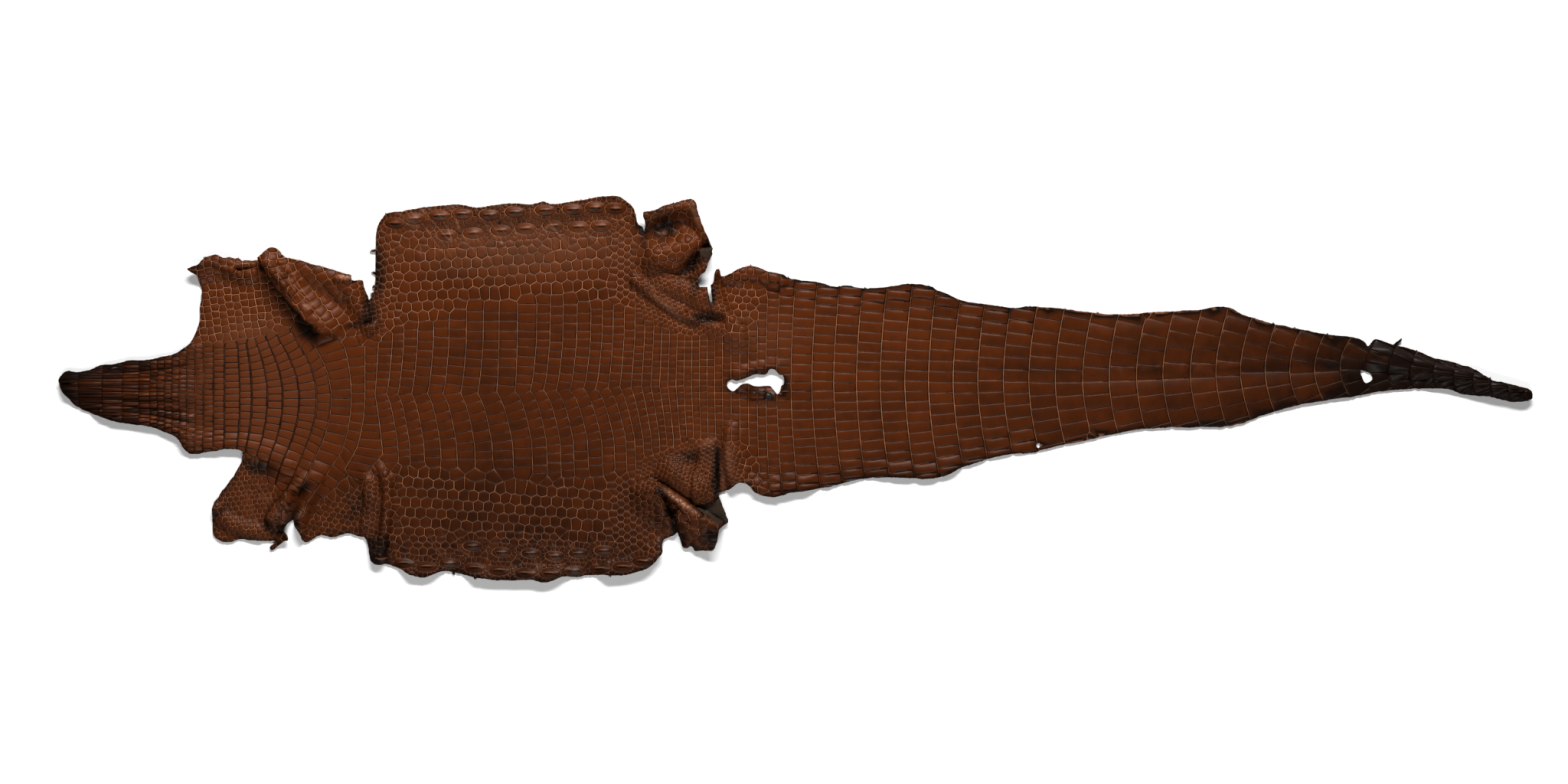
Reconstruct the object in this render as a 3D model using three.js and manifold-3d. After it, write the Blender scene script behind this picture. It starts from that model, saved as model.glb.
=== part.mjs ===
// A tanned crocodile skin: one piece of leather laid out flat, scales up, in millimetres.
// +X runs from the neck to the tail, +Y across the skin, +Z up. The flesh side rests on z = 0.
// The sheet is a grid of cells that rises over its folds, trimmed by the outline of the skin.
// Four places where the leather laps over itself are thin sheets of the same leather, joined on.

import * as THREE from 'three';
import { mergeVertices } from 'three/addons/utils/BufferGeometryUtils.js';
import Module from 'manifold-3d';

// Driving dimensions.
const THICKNESS = 2;            // finished leather with its scales
const STEEPEST = 1.6;           // most that a slope thickens the sheet, measured upright
const TRIM_HEIGHT = 90;         // half height of the tools that trim the outline
const LAP_COLUMNS = 4;          // cells across a lapped sheet
const LAP_CROWN = 1.5;          // rise of a lapped sheet between its two edges
const BLEND_POWER = 3;          // how firmly the highest of two crossing folds wins

// Cells of the sheet along its length: narrow at the legs, where the folds are close.
const CELLS_ALONG = table(['to', 'step'], [
  [-668, 18], [-455, 11], [-190, 26], [-52, 10], [130, 26], [806, 32],
]);
const CELLS_ACROSS = 11;
const SHEET = { left: -812, right: 810, lower: -220, upper: 218 };

// The trunk, a row for each section from the neck to the tail: its two cut edges.
const TRUNK = table(['x', 'upper', 'lower'], [
  [-807, 11, 5], [-804, 16, -3], [-798, 19.5, -10], [-788, 17.5, -19.5], [-775, 20.5, -25.5],
  [-763, 25.5, -30], [-748, 27.5, -34.5], [-732, 31, -38], [-712, 32, -40.5], [-694, 35, -46],
  [-682, 38, -51], [-676, 41, -56], [-671, 44, -65], [-665, 50, -70], [-658, 62, -71],
  [-654, 76, -70.5], [-652, 98, -70], [-640, 120, -68], [-622, 120, -66], [-606, 120, -69],
  [-600, 120, -100], [-560, 110, -120], [-500, 96, -145], [-473, 96, -163], [-469, 97, -171],
  [-466, 101, -188], [-462, 112, -191], [-461, 160, -191.5], [-458, 181, -192],
  [-448, 192, -192.5], [-433, 194, -198], [-425, 196, -203], [-408, 199, -206],
  [-394, 200, -201.5], [-387, 200.5, -199.5], [-370, 202, -202.5], [-350, 198.5, -207],
  [-330, 201.5, -209], [-310, 203, -209.5], [-290, 202, -209], [-278, 205, -211.5],
  [-268, 202.5, -210], [-256, 203.5, -205.5], [-240, 206, -206], [-226, 208.5, -204],
  [-197, 211, -204], [-190, 208, -203.5], [-180, 200, -202], [-176, 191, -201],
  [-173, 181, -200], [-168, 177.5, -198.5], [-165, 165, -197], [-159, 160, -193.5],
  [-150, 150, -184], [-147, 140, -179], [-146, 140, -166], [-131, 130, -158],
  [-108, 105, -130], [-105.5, 111.5, -125], [-96.5, 112, -120], [-94.5, 113.5, -118],
  [-91, 117, -116], [-90, 126, -115.5], [-87, 130.5, -114.5], [-84.5, 131, -113.5],
  [-82.5, 124, -113], [-73, 126, -109.5], [-63, 131, -103], [-52, 134, -106],
  [-45, 134, -113.5], [-28, 127.5, -118], [-18, 125.5, -117], [-8, 121, -114],
  [8, 119, -112], [28, 116, -108.5], [38, 112.5, -107], [60, 113, -100.5], [70, 110.5, -99],
  [100, 111.5, -96.5], [122, 114.5, -97.5], [145, 113, -98.5], [157, 107, -97],
  [170, 101.5, -92], [182, 97, -86], [212, 92, -76.5], [238, 89, -71], [258, 90.5, -70],
  [290, 88, -62], [322, 84, -55.5], [352, 81.5, -48.5], [400, 84.5, -42.5], [440, 87, -42],
  [472, 90, -41], [490, 81.5, -37], [520, 72, -26], [550, 66, -17.5], [578, 60.5, -13],
  [622, 53, -6.5], [627, 47, -5.5], [634, 54, -4], [650, 50, -1.5], [682, 41, 0.5],
  [700, 33.5, 1], [715, 31, 0], [730, 26, -5], [742, 22, -6.5], [760, 10, -7.5],
  [782, 4.5, -13], [803, -1.5, -12], [806, -5, -10.5],
]);

// The flaps that stand out of the trunk, by their cut corners; each starts and ends inside it.
const FLAPS = {
  shoulder: [
    [-630, 60], [-652, 98], [-651.5, 108], [-654.5, 118], [-656, 124], [-666, 131], [-655, 136],
    [-650, 141], [-642, 145], [-635, 146.5], [-628, 143.5], [-617, 143], [-605, 140],
    [-580, 139.5], [-560, 90],
  ],
  upperLeftLeg: [
    [-600, 100], [-588, 142], [-582, 149], [-573, 155.5], [-567, 153], [-560, 146],
    [-550, 142.5], [-530, 136.5], [-510, 131], [-492, 125], [-488, 124], [-487, 119],
    [-475, 119], [-474, 112], [-469, 97], [-480, 80],
  ],
  lowerLeftLeg: [
    [-590, -60], [-606, -68.5], [-608, -80], [-613, -88], [-620, -100], [-630, -113],
    [-638, -125], [-640, -131], [-640, -142], [-638, -162], [-632, -166], [-627, -167.5],
    [-618, -167], [-612, -164.5], [-602, -165], [-580, -167], [-570, -167], [-577, -174],
    [-575, -177], [-567, -171], [-560, -166], [-557, -166], [-558, -160], [-562, -154],
    [-551, -143], [-549, -150], [-544, -159], [-542, -166], [-537, -168], [-529, -163.5],
    [-520, -160.5], [-508, -162.5], [-500, -160], [-490, -158.5], [-473, -161], [-460, -120],
  ],
  upperRightLeg: [
    [-168, 150], [-165.5, 182], [-167, 188], [-167, 193], [-160, 193.5], [-155, 194.5],
    [-143, 200], [-128, 204], [-120, 206.5], [-113, 207], [-107, 191], [-100, 172],
    [-96, 165], [-92.5, 155], [-94, 146], [-99, 132], [-101, 128], [-105, 125],
    [-108, 120], [-107, 114], [-104, 108], [-115, 80],
  ],
  lowerRightLeg: [
    [-140, -140], [-130, -157], [-128, -163], [-125, -170], [-124, -174], [-119, -175],
    [-115, -172], [-111, -177.5], [-101, -176.5], [-91, -176], [-87, -167], [-85, -157],
    [-83, -152], [-75, -145], [-77, -138], [-80, -130], [-83, -121], [-86, -114], [-80, -90],
  ],
};

// The holes that go through: the vent with the nick under it, the slit beside the upper right
// leg, the slot in the tail, and the nail hole near the tail's lower edge.
const HOLES = {
  vent: [
    [-76, 4], [-75, 7.5], [-70, 10.5], [-66, 9.5], [-60, 10.5], [-55, 12], [-45, 16.5],
    [-33, 16.5], [-29, 21.5], [-24, 21.5], [-18, 15.5], [-14.5, 15.5], [-13, 5], [-16, 3],
    [-17.5, -3], [-20.5, -6], [-26, 0], [-28, 3], [-46, 3], [-52, 5.5], [-58, 5.5],
    [-61, 4], [-67, -2], [-72, -1.5],
  ],
  ventNick: [[-34.5, -10], [-31, -5.5], [-26, -10.5]],
  legSlit: [[-97, 116], [-95.5, 100], [-93.5, 94], [-92, 96], [-93, 104], [-94.5, 116]],
  tailSlot: [[618, 20], [629, 17.5], [632, 11], [624, 6.5], [620, 13]],
  nailHole: [[262.5, -62], [264, -59.5], [267, -59.5], [268, -62], [266, -65], [264, -64.5]],
};

// Folds: the leather rises by `rise` along the path, and falls to the floor over `left` on the
// path's left-hand side and over `right` on its right-hand side.
const FOLDS = {
  neckArch: { rise: 6, left: 26, right: 26, path: [[-795, 4], [-740, -2], [-680, -4]] },
  neckUpperRim: { rise: 3, left: 12, right: 14, path: [[-750, 26], [-690, 30], [-660, 42]] },
  neckLowerRim: { rise: 5, left: 14, right: 16, path: [[-760, -28], [-700, -38], [-660, -62]] },
  shoulderRim: { rise: 8, left: 14, right: 22, path: [[-664, 130], [-632, 140], [-600, 130]] },
  upperLeftCrest: { rise: 15, left: 32, right: 10, path: [[-582, 144], [-564, 112], [-542, 86], [-524, 68]] },
  upperLeftRim: { rise: 7, left: 22, right: 22, path: [[-560, 140], [-520, 122], [-484, 104]] },
  upperLeftPinch: { rise: 5, left: 10, right: 12, path: [[-482, 112], [-470, 84], [-462, 62]] },
  chestLowerRim: { rise: 8, left: 16, right: 14, path: [[-668, -60], [-606, -66], [-575, -78], [-560, -92]] },
  lowerLeftRim: { rise: 5, left: 14, right: 12, path: [[-638, -134], [-618, -150], [-590, -158]] },
  lowerLeftPleat: { rise: 16, left: 16, right: 12, path: [[-541, -98], [-560, -122], [-568, -148]] },
  lowerLeftSwell: { rise: 14, left: 10, right: 24, path: [[-536, -112], [-548, -138], [-540, -162]] },
  lowerLeftPinch: { rise: 7, left: 12, right: 10, path: [[-470, -96], [-468, -126], [-474, -152]] },
  bellyPinch: { rise: 8, left: 10, right: 16, path: [[-448, -104], [-447, -134], [-456, -184]] },
  lowerFlankWaveA: { rise: 5, left: 18, right: 18, path: [[-425, -204], [-400, -203]] },
  lowerFlankWaveB: { rise: 6, left: 18, right: 18, path: [[-350, -208], [-280, -210], [-262, -206]] },
  lowerFlankWaveC: { rise: 7, left: 16, right: 18, path: [[-205, -203], [-165, -196], [-150, -178]] },
  upperFlankWave: {
    rise: 4, left: 16, right: 16,
    path: [[-440, 188], [-350, 192], [-250, 198], [-196, 204]],
  },
  upperRightRim: { rise: 13, left: 16, right: 14, path: [[-166, 190], [-140, 198], [-114, 203]] },
  upperRightHump: {
    rise: 12, left: 15, right: 17,
    path: [[-152, 150], [-126, 158], [-104, 168], [-96, 158]],
  },
  upperRightArmpit: { rise: 9, left: 18, right: 16, path: [[-146, 116], [-122, 106], [-100, 98]] },
  upperRightRoot: { rise: 6, left: 14, right: 10, path: [[-176, 118], [-140, 92], [-112, 76]] },
  upperTailRoot: { rise: 10, left: 10, right: 16, path: [[-88, 122], [-86, 98], [-80, 78], [-62, 66]] },
  upperTailWave: { rise: 6, left: 14, right: 14, path: [[-76, 124], [-45, 128], [-20, 118]] },
  lowerRightArmpit: { rise: 13, left: 20, right: 20, path: [[-132, -92], [-122, -106], [-124, -112]] },
  lowerRightRoll: {
    rise: 16, left: 12, right: 30,
    path: [[-145, -112], [-124, -125], [-108, -138], [-88, -152]],
  },
  lowerTailRoot: { rise: 10, left: 12, right: 9, path: [[-79, -58], [-76, -84], [-71, -106]] },
  lowerTailWave: { rise: 5, left: 18, right: 18, path: [[-60, -104], [-28, -114], [6, -108]] },
  lowerTailBulge: { rise: 3, left: 16, right: 16, path: [[100, -92], [145, -94], [170, -86]] },
  upperTailBulge: { rise: 3, left: 18, right: 18, path: [[96, 106], [140, 108], [162, 98]] },
  tailUpperHalf: { rise: 3, left: 26, right: 30, path: [[330, 56], [470, 62], [560, 46]] },
  tailLowerHalf: { rise: 3, left: 26, right: 26, path: [[330, -8], [460, -10], [600, 8]] },
  tailEndArch: { rise: 10, left: 16, right: 15, path: [[636, 36], [700, 18], [752, 4], [798, -6]] },
  ventRim: {
    rise: 3, left: 10, right: 10,
    path: [[-66, 16], [-40, 24], [-14, 22], [-6, 6], [-16, -10], [-44, -8]],
  },
};

// Creases: `press` is the share of the rise that a crease takes back along its path.
const CREASES = {
  lowerLeftValley: { press: 0.9, width: 9, path: [[-550, -108], [-556, -134], [-552, -146]] },
  lowerLeftBodyCrease: {
    press: 0.9, width: 8,
    path: [[-459, -96], [-456, -120], [-456, -138], [-462, -158]],
  },
  upperRightBowl: { press: 0.8, width: 11, path: [[-158, 176], [-138, 176], [-120, 190]] },
  upperRightCrease: { press: 0.8, width: 9, path: [[-96, 156], [-112, 138], [-128, 124]] },
  upperRightBodyCrease: { press: 0.8, width: 8, path: [[-116, 84], [-98, 77], [-84, 75]] },
  lowerRightBodyCrease: { press: 0.9, width: 8, path: [[-88, -66], [-87, -96], [-84, -114]] },
  lowerRightRollEdge: { press: 0.9, width: 7, path: [[-143, -121], [-134, -144], [-129, -160]] },
  chestLowerDip: { press: 0.7, width: 8, path: [[-606, -84], [-590, -92], [-574, -98]] },
  upperLeftBodyCrease: { press: 0.6, width: 8, path: [[-488, 96], [-474, 82], [-466, 70]] },
};

// Laps: thin sheets between a left and a right edge, a row for each section. A lift is the
// height of that edge's middle above the middle of the leather under it.
const LAP_EDGES = ['lx', 'ly', 'leftLift', 'rx', 'ry', 'rightLift'];
const LAPS = {
  upperLeftCrest: table(LAP_EDGES, [
    [-587, 138, 7, -580, 143, -1], [-578, 119, 12, -567, 121, -1], [-567, 103, 13, -556, 105, -1],
    [-555, 90, 13, -545, 92, -1], [-546, 78, 10, -536, 82, -1], [-531, 66, 3, -524, 71, -1],
  ]),
  upperRightCurl: table(LAP_EDGES, [
    [-104, 151, 7, -92.5, 151.5, 8], [-107, 143, 6, -95.5, 143, 8],
    [-109, 135, 3, -99, 134, 5], [-110, 126, 0, -104, 125, 0],
  ]),
  lowerRightTongue: table(LAP_EDGES, [
    [-103, -62, 0, -91, -62, 0], [-105, -80, 5, -89.5, -80, 6], [-110, -97, 6, -90, -97, 11],
    [-112, -112, 7, -89, -110, 13], [-109.5, -127, 6, -92, -121, 12],
  ]),
  lowerRightCorner: table(LAP_EDGES, [
    [-109, -129, 3, -82, -121, 9], [-98, -137, 4, -78, -133, 9], [-88, -147, 0, -75.5, -145, 0],
  ]),
};

const LEATHER = { color: 0x4a2616, roughness: 0.42, metalness: 0 };

// Rows with named columns.
function table(columns, rows) {
  return rows.map((row) => Object.fromEntries(columns.map((name, i) => [name, row[i]])));
}

// Where a point lies against a path of straight stretches: how far off, and on which side.
function besidePath(x, y, path) {
  let distance = Infinity;
  let onLeft = false;
  for (let i = 1; i < path.length; i += 1) {
    const [ax, ay] = path[i - 1];
    const [dx, dy] = [path[i][0] - ax, path[i][1] - ay];
    const along = ((x - ax) * dx + (y - ay) * dy) / (dx * dx + dy * dy);
    const t = THREE.MathUtils.clamp(along, 0, 1);
    const off = Math.hypot(x - ax - t * dx, y - ay - t * dy);
    if (off < distance) {
      distance = off;
      onLeft = dx * (y - ay) - dy * (x - ax) > 0;
    }
  }
  return { distance, onLeft };
}

// A smooth hill: 1 on its crest, 0 from `width` outwards.
function hill(distance, width) {
  const share = distance / width;
  return share < 1 ? (1 - share * share) ** 2 : 0;
}

// Height of the flesh side above the floor.
function heightAt(x, y) {
  let sum = 0;
  for (const { rise, left, right, path } of Object.values(FOLDS)) {
    const { distance, onLeft } = besidePath(x, y, path);
    sum += (rise * hill(distance, onLeft ? left : right)) ** BLEND_POWER;
  }
  let height = sum ** (1 / BLEND_POWER);
  for (const { press, width, path } of Object.values(CREASES)) {
    height *= 1 - press * hill(besidePath(x, y, path).distance, width);
  }
  return height;
}

// Upright thickness of the sheet: more on a slope, so that it stays as thick across.
function uprightThickness(x, y) {
  const slopeX = heightAt(x + 1, y) - heightAt(x - 1, y);
  const slopeY = heightAt(x, y + 1) - heightAt(x, y - 1);
  return THICKNESS * Math.min(STEEPEST, Math.hypot(1, slopeX / 2, slopeY / 2));
}

const wasm = await Module();
wasm.setup();

// A manifold solid from a closed three.js geometry.
function toSolid(geometry) {
  const bare = geometry.index ? geometry.toNonIndexed() : geometry.clone();
  bare.deleteAttribute('normal');
  bare.deleteAttribute('uv');
  const welded = mergeVertices(bare, 1e-4);
  return new wasm.Manifold(new wasm.Mesh({
    numProp: 3,
    vertProperties: new Float32Array(welded.attributes.position.array),
    triVerts: new Uint32Array(welded.index.array),
  }));
}

// A three.js geometry from a manifold solid.
function toGeometry(solid) {
  const mesh = solid.getMesh();
  const geometry = new THREE.BufferGeometry();
  geometry.setAttribute('position', new THREE.BufferAttribute(new Float32Array(mesh.vertProperties), 3));
  geometry.setIndex([...mesh.triVerts]);
  return geometry;
}

// A closed sheet between two grids of points, `rows` by `columns` cells, seen from above
// with its rows towards +X and its columns towards +Y.
function closedSheet(rows, columns, lowerPoint, upperPoint) {
  const points = [];
  const faces = [];
  const wide = columns + 1;
  const layer = (rows + 1) * wide;
  for (const point of [lowerPoint, upperPoint]) {
    for (let i = 0; i <= rows; i += 1) {
      for (let j = 0; j <= columns; j += 1) points.push(...point(i, j));
    }
  }
  const quad = (a, b, c, d) => faces.push(a, b, c, a, c, d);
  for (let i = 0; i < rows; i += 1) {
    for (let j = 0; j < columns; j += 1) {
      const corner = i * wide + j;
      quad(corner, corner + 1, corner + wide + 1, corner + wide);
      quad(layer + corner, layer + corner + wide, layer + corner + wide + 1, layer + corner + 1);
    }
  }
  const rim = [];
  for (let i = 0; i < rows; i += 1) rim.push(i * wide);
  for (let j = 0; j < columns; j += 1) rim.push(rows * wide + j);
  for (let i = rows; i > 0; i -= 1) rim.push(i * wide + columns);
  for (let j = columns; j > 0; j -= 1) rim.push(j);
  rim.forEach((here, k) => {
    const next = rim[(k + 1) % rim.length];
    quad(here, next, layer + next, layer + here);
  });
  const geometry = new THREE.BufferGeometry();
  geometry.setAttribute('position', new THREE.Float32BufferAttribute(points, 3));
  geometry.setIndex(faces);
  return geometry;
}

// The untrimmed sheet, over its folds.
function foldedSheet() {
  const stations = [SHEET.left];
  for (const { to, step } of CELLS_ALONG) {
    while (stations.at(-1) + step / 2 < to) stations.push(stations.at(-1) + step);
  }
  stations.push(SHEET.right);
  const columns = Math.ceil((SHEET.upper - SHEET.lower) / CELLS_ACROSS);
  const acrossAt = (j) => THREE.MathUtils.lerp(SHEET.lower, SHEET.upper, j / columns);
  const lower = (i, j) => [stations[i], acrossAt(j), heightAt(stations[i], acrossAt(j))];
  const upper = (i, j) => {
    const [x, y, z] = lower(i, j);
    return [x, y, z + uprightThickness(x, y)];
  };
  return toSolid(closedSheet(stations.length - 1, columns, lower, upper));
}

// A tall prism on a closed outline.
function trimTool(corners) {
  const shape = new THREE.Shape(corners.map(([x, y]) => new THREE.Vector2(x, y)));
  const geometry = new THREE.ExtrudeGeometry(shape, { depth: 2 * TRIM_HEIGHT, bevelEnabled: false });
  geometry.translate(0, 0, -TRIM_HEIGHT);
  return toSolid(geometry);
}

// The outline of the skin: the trunk and its flaps, less the holes.
function outlineTool() {
  const upperEdge = TRUNK.map(({ x, upper }) => [x, upper]);
  const lowerEdge = TRUNK.map(({ x, lower }) => [x, lower]).reverse();
  let tool = trimTool([...upperEdge, ...lowerEdge]);
  for (const corners of Object.values(FLAPS)) tool = tool.add(trimTool(corners));
  for (const corners of Object.values(HOLES)) tool = tool.subtract(trimTool(corners));
  return tool;
}

// A lapped sheet between its two edges.
function lapSheet(sections) {
  const middle = (i, j) => {
    const { lx, ly, leftLift, rx, ry, rightLift } = sections[i];
    const t = j / LAP_COLUMNS;
    const [x, y] = [THREE.MathUtils.lerp(lx, rx, t), THREE.MathUtils.lerp(ly, ry, t)];
    const edgeHeights = [
      heightAt(lx, ly) + uprightThickness(lx, ly) / 2 + leftLift,
      heightAt(rx, ry) + uprightThickness(rx, ry) / 2 + rightLift,
    ];
    const crown = leftLift || rightLift ? LAP_CROWN * Math.sin(Math.PI * t) : 0;
    return [x, y, THREE.MathUtils.lerp(...edgeHeights, t) + crown];
  };
  const offset = (side) => (i, j) => {
    const [x, y, z] = middle(i, j);
    return [x, y, z + side * THICKNESS / 2];
  };
  return toSolid(closedSheet(sections.length - 1, LAP_COLUMNS, offset(-1), offset(1)));
}

// The whole skin as one solid, centred over the origin.
function skinGeometry() {
  let skin = foldedSheet().intersect(outlineTool());
  for (const sections of Object.values(LAPS)) skin = skin.add(lapSheet(sections));
  const geometry = toGeometry(skin);
  geometry.computeBoundingBox();
  const { min, max } = geometry.boundingBox;
  geometry.translate(-(min.x + max.x) / 2, -(min.y + max.y) / 2, -min.z);
  geometry.computeVertexNormals();
  return geometry;
}

const skin = new THREE.Mesh(skinGeometry(), new THREE.MeshStandardMaterial(LEATHER));
skin.name = 'crocodile_skin';

const group = new THREE.Group();
group.add(skin);

export default group;
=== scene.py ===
"""A tanned crocodile skin laid out flat with its scales up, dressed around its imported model.

The skin's flat pattern, its cut edge, its scales and its folds, is drawn in millimetres from the
neck (-X) to the tail (+X), and turned into metres when its meshes are made.
"""

import logging
import math
from collections import Counter
from dataclasses import dataclass, field
from enum import Enum

import bmesh
import bpy
import numpy as np
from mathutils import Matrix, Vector
from mathutils.geometry import delaunay_2d_cdt
from mathutils.kdtree import KDTree


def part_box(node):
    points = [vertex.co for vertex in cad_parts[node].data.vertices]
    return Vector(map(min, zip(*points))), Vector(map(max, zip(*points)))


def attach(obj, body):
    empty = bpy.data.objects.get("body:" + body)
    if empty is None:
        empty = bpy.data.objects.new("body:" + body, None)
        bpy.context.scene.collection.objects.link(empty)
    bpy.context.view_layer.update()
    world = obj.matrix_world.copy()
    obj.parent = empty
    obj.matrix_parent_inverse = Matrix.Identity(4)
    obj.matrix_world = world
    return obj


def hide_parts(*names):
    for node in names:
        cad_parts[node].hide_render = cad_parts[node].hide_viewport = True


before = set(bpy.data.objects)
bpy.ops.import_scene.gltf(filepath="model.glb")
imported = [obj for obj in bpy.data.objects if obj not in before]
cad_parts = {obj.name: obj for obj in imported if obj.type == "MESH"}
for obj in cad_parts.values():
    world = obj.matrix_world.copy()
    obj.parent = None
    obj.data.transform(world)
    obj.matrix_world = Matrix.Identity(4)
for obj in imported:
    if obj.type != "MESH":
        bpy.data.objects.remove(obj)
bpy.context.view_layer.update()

LOG = logging.getLogger("crocodile_skin")
MM = 0.001
NODE = "crocodile_skin"
SEED = 71

# The least length that is divided by, and a place on a boss that is on none of them.
TINY = 1e-6
FAR_OFF = 9.0

# A vector times this lies level.
LEVEL = (1.0, 1.0, 0.0)

# How far an oval patch reaches out beyond its size as it fades, as a share of its half size.
PATCH_BLUR = 1.25

# Half the length and half the width of the flat pattern.
HALF_LENGTH = 808
HALF_WIDTH = 214

# The trunk, a row for each section from the neck to the tail: x and its two cut edges.
TRUNK = (
    (-807, 11, 5), (-804, 16, -3), (-798, 19.5, -10), (-788, 17.5, -19.5), (-775, 20.5, -25.5),
    (-763, 25.5, -30), (-748, 27.5, -34.5), (-732, 31, -38), (-712, 32, -40.5), (-694, 35, -46),
    (-682, 38, -51), (-676, 41, -56), (-671, 44, -65), (-665, 50, -70), (-658, 62, -71),
    (-654, 76, -70.5), (-652, 98, -70), (-640, 120, -68), (-622, 120, -66), (-606, 120, -69),
    (-600, 120, -100), (-560, 110, -120), (-500, 96, -145), (-473, 96, -163), (-469, 97, -171),
    (-466, 101, -188), (-462, 112, -191), (-461, 160, -191.5), (-458, 181, -192),
    (-448, 192, -192.5), (-433, 194, -198), (-425, 196, -203), (-408, 199, -206),
    (-394, 200, -201.5), (-387, 200.5, -199.5), (-370, 202, -202.5), (-350, 198.5, -207),
    (-330, 201.5, -209), (-310, 203, -209.5), (-290, 202, -209), (-278, 205, -211.5),
    (-268, 202.5, -210), (-256, 203.5, -205.5), (-240, 206, -206), (-226, 208.5, -204),
    (-197, 211, -204), (-190, 208, -203.5), (-180, 200, -202), (-176, 191, -201),
    (-173, 181, -200), (-168, 177.5, -198.5), (-165, 165, -197), (-159, 160, -193.5),
    (-150, 150, -184), (-147, 140, -179), (-146, 140, -166), (-131, 130, -158),
    (-108, 105, -130), (-105.5, 111.5, -125), (-96.5, 112, -120), (-94.5, 113.5, -118),
    (-91, 117, -116), (-90, 126, -115.5), (-87, 130.5, -114.5), (-84.5, 131, -113.5),
    (-82.5, 124, -113), (-73, 126, -109.5), (-63, 131, -103), (-52, 134, -106),
    (-45, 134, -113.5), (-28, 127.5, -118), (-18, 125.5, -117), (-8, 121, -114),
    (8, 119, -112), (28, 116, -108.5), (38, 112.5, -107), (60, 113, -100.5), (70, 110.5, -99),
    (100, 111.5, -96.5), (122, 114.5, -97.5), (145, 113, -98.5), (157, 107, -97),
    (170, 101.5, -92), (182, 97, -86), (212, 92, -76.5), (238, 89, -71), (258, 90.5, -70),
    (290, 88, -62), (322, 84, -55.5), (352, 81.5, -48.5), (400, 84.5, -42.5), (440, 87, -42),
    (472, 90, -41), (490, 81.5, -37), (520, 72, -26), (550, 66, -17.5), (578, 60.5, -13),
    (622, 53, -6.5), (627, 47, -5.5), (634, 54, -4), (650, 50, -1.5), (682, 41, 0.5),
    (700, 33.5, 1), (715, 31, 0), (730, 26, -5), (742, 22, -6.5), (760, 10, -7.5),
    (782, 4.5, -13), (803, -1.5, -12), (806, -5, -10.5),
)

# The flaps that stand out of the trunk, by their cut corners.
FLAPS = {
    "shoulder": (
        (-630, 60), (-652, 98), (-651.5, 108), (-654.5, 118), (-656, 124), (-666, 131),
        (-655, 136), (-650, 141), (-642, 145), (-635, 146.5), (-628, 143.5), (-617, 143),
        (-605, 140), (-580, 139.5), (-560, 90),
    ),
    "upper_left_leg": (
        (-600, 100), (-588, 142), (-582, 149), (-573, 155.5), (-567, 153), (-560, 146),
        (-550, 142.5), (-530, 136.5), (-510, 131), (-492, 125), (-488, 124), (-487, 119),
        (-475, 119), (-474, 112), (-469, 97), (-480, 80),
    ),
    "lower_left_leg": (
        (-590, -60), (-606, -68.5), (-608, -80), (-613, -88), (-620, -100), (-630, -113),
        (-638, -125), (-640, -131), (-640, -142), (-638, -162), (-632, -166), (-627, -167.5),
        (-618, -167), (-612, -164.5), (-602, -165), (-580, -167), (-570, -167), (-577, -174),
        (-575, -177), (-567, -171), (-560, -166), (-557, -166), (-558, -160), (-562, -154),
        (-551, -143), (-549, -150), (-544, -159), (-542, -166), (-537, -168), (-529, -163.5),
        (-520, -160.5), (-508, -162.5), (-500, -160), (-490, -158.5), (-473, -161), (-460, -120),
    ),
    "upper_right_leg": (
        (-168, 150), (-165.5, 182), (-167, 188), (-167, 193), (-160, 193.5), (-155, 194.5),
        (-143, 200), (-128, 204), (-120, 206.5), (-113, 207), (-107, 191), (-100, 172),
        (-96, 165), (-92.5, 155), (-94, 146), (-99, 132), (-101, 128), (-105, 125),
        (-108, 120), (-107, 114), (-104, 108), (-115, 80),
    ),
    "lower_right_leg": (
        (-140, -140), (-130, -157), (-128, -163), (-125, -170), (-124, -174), (-119, -175),
        (-115, -172), (-111, -177.5), (-101, -176.5), (-91, -176), (-87, -167), (-85, -157),
        (-83, -152), (-75, -145), (-77, -138), (-80, -130), (-83, -121), (-86, -114), (-80, -90),
    ),
}

# The holes that go through.
HOLES = {
    "vent": (
        (-76, 4), (-75, 7.5), (-70, 10.5), (-66, 9.5), (-60, 10.5), (-55, 12), (-45, 16.5),
        (-33, 16.5), (-29, 21.5), (-24, 21.5), (-18, 15.5), (-14.5, 15.5), (-13, 5), (-16, 3),
        (-17.5, -3), (-20.5, -6), (-26, 0), (-28, 3), (-46, 3), (-52, 5.5), (-58, 5.5),
        (-61, 4), (-67, -2), (-72, -1.5),
    ),
    "vent_nick": ((-34.5, -10), (-31, -5.5), (-26, -10.5)),
    "leg_slit": ((-97, 116), (-95.5, 100), (-93.5, 94), (-92, 96), (-93, 104), (-94.5, 116)),
    "tail_slot": ((618, 20), (629, 17.5), (632, 11), (624, 6.5), (620, 13)),
    "nail_hole": ((262.5, -62), (264, -59.5), (267, -59.5), (268, -62), (266, -65), (264, -64.5)),
    "neck_slit": ((-753, 22), (-746, 23.8), (-739, 24), (-746, 22.4)),
}

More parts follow.
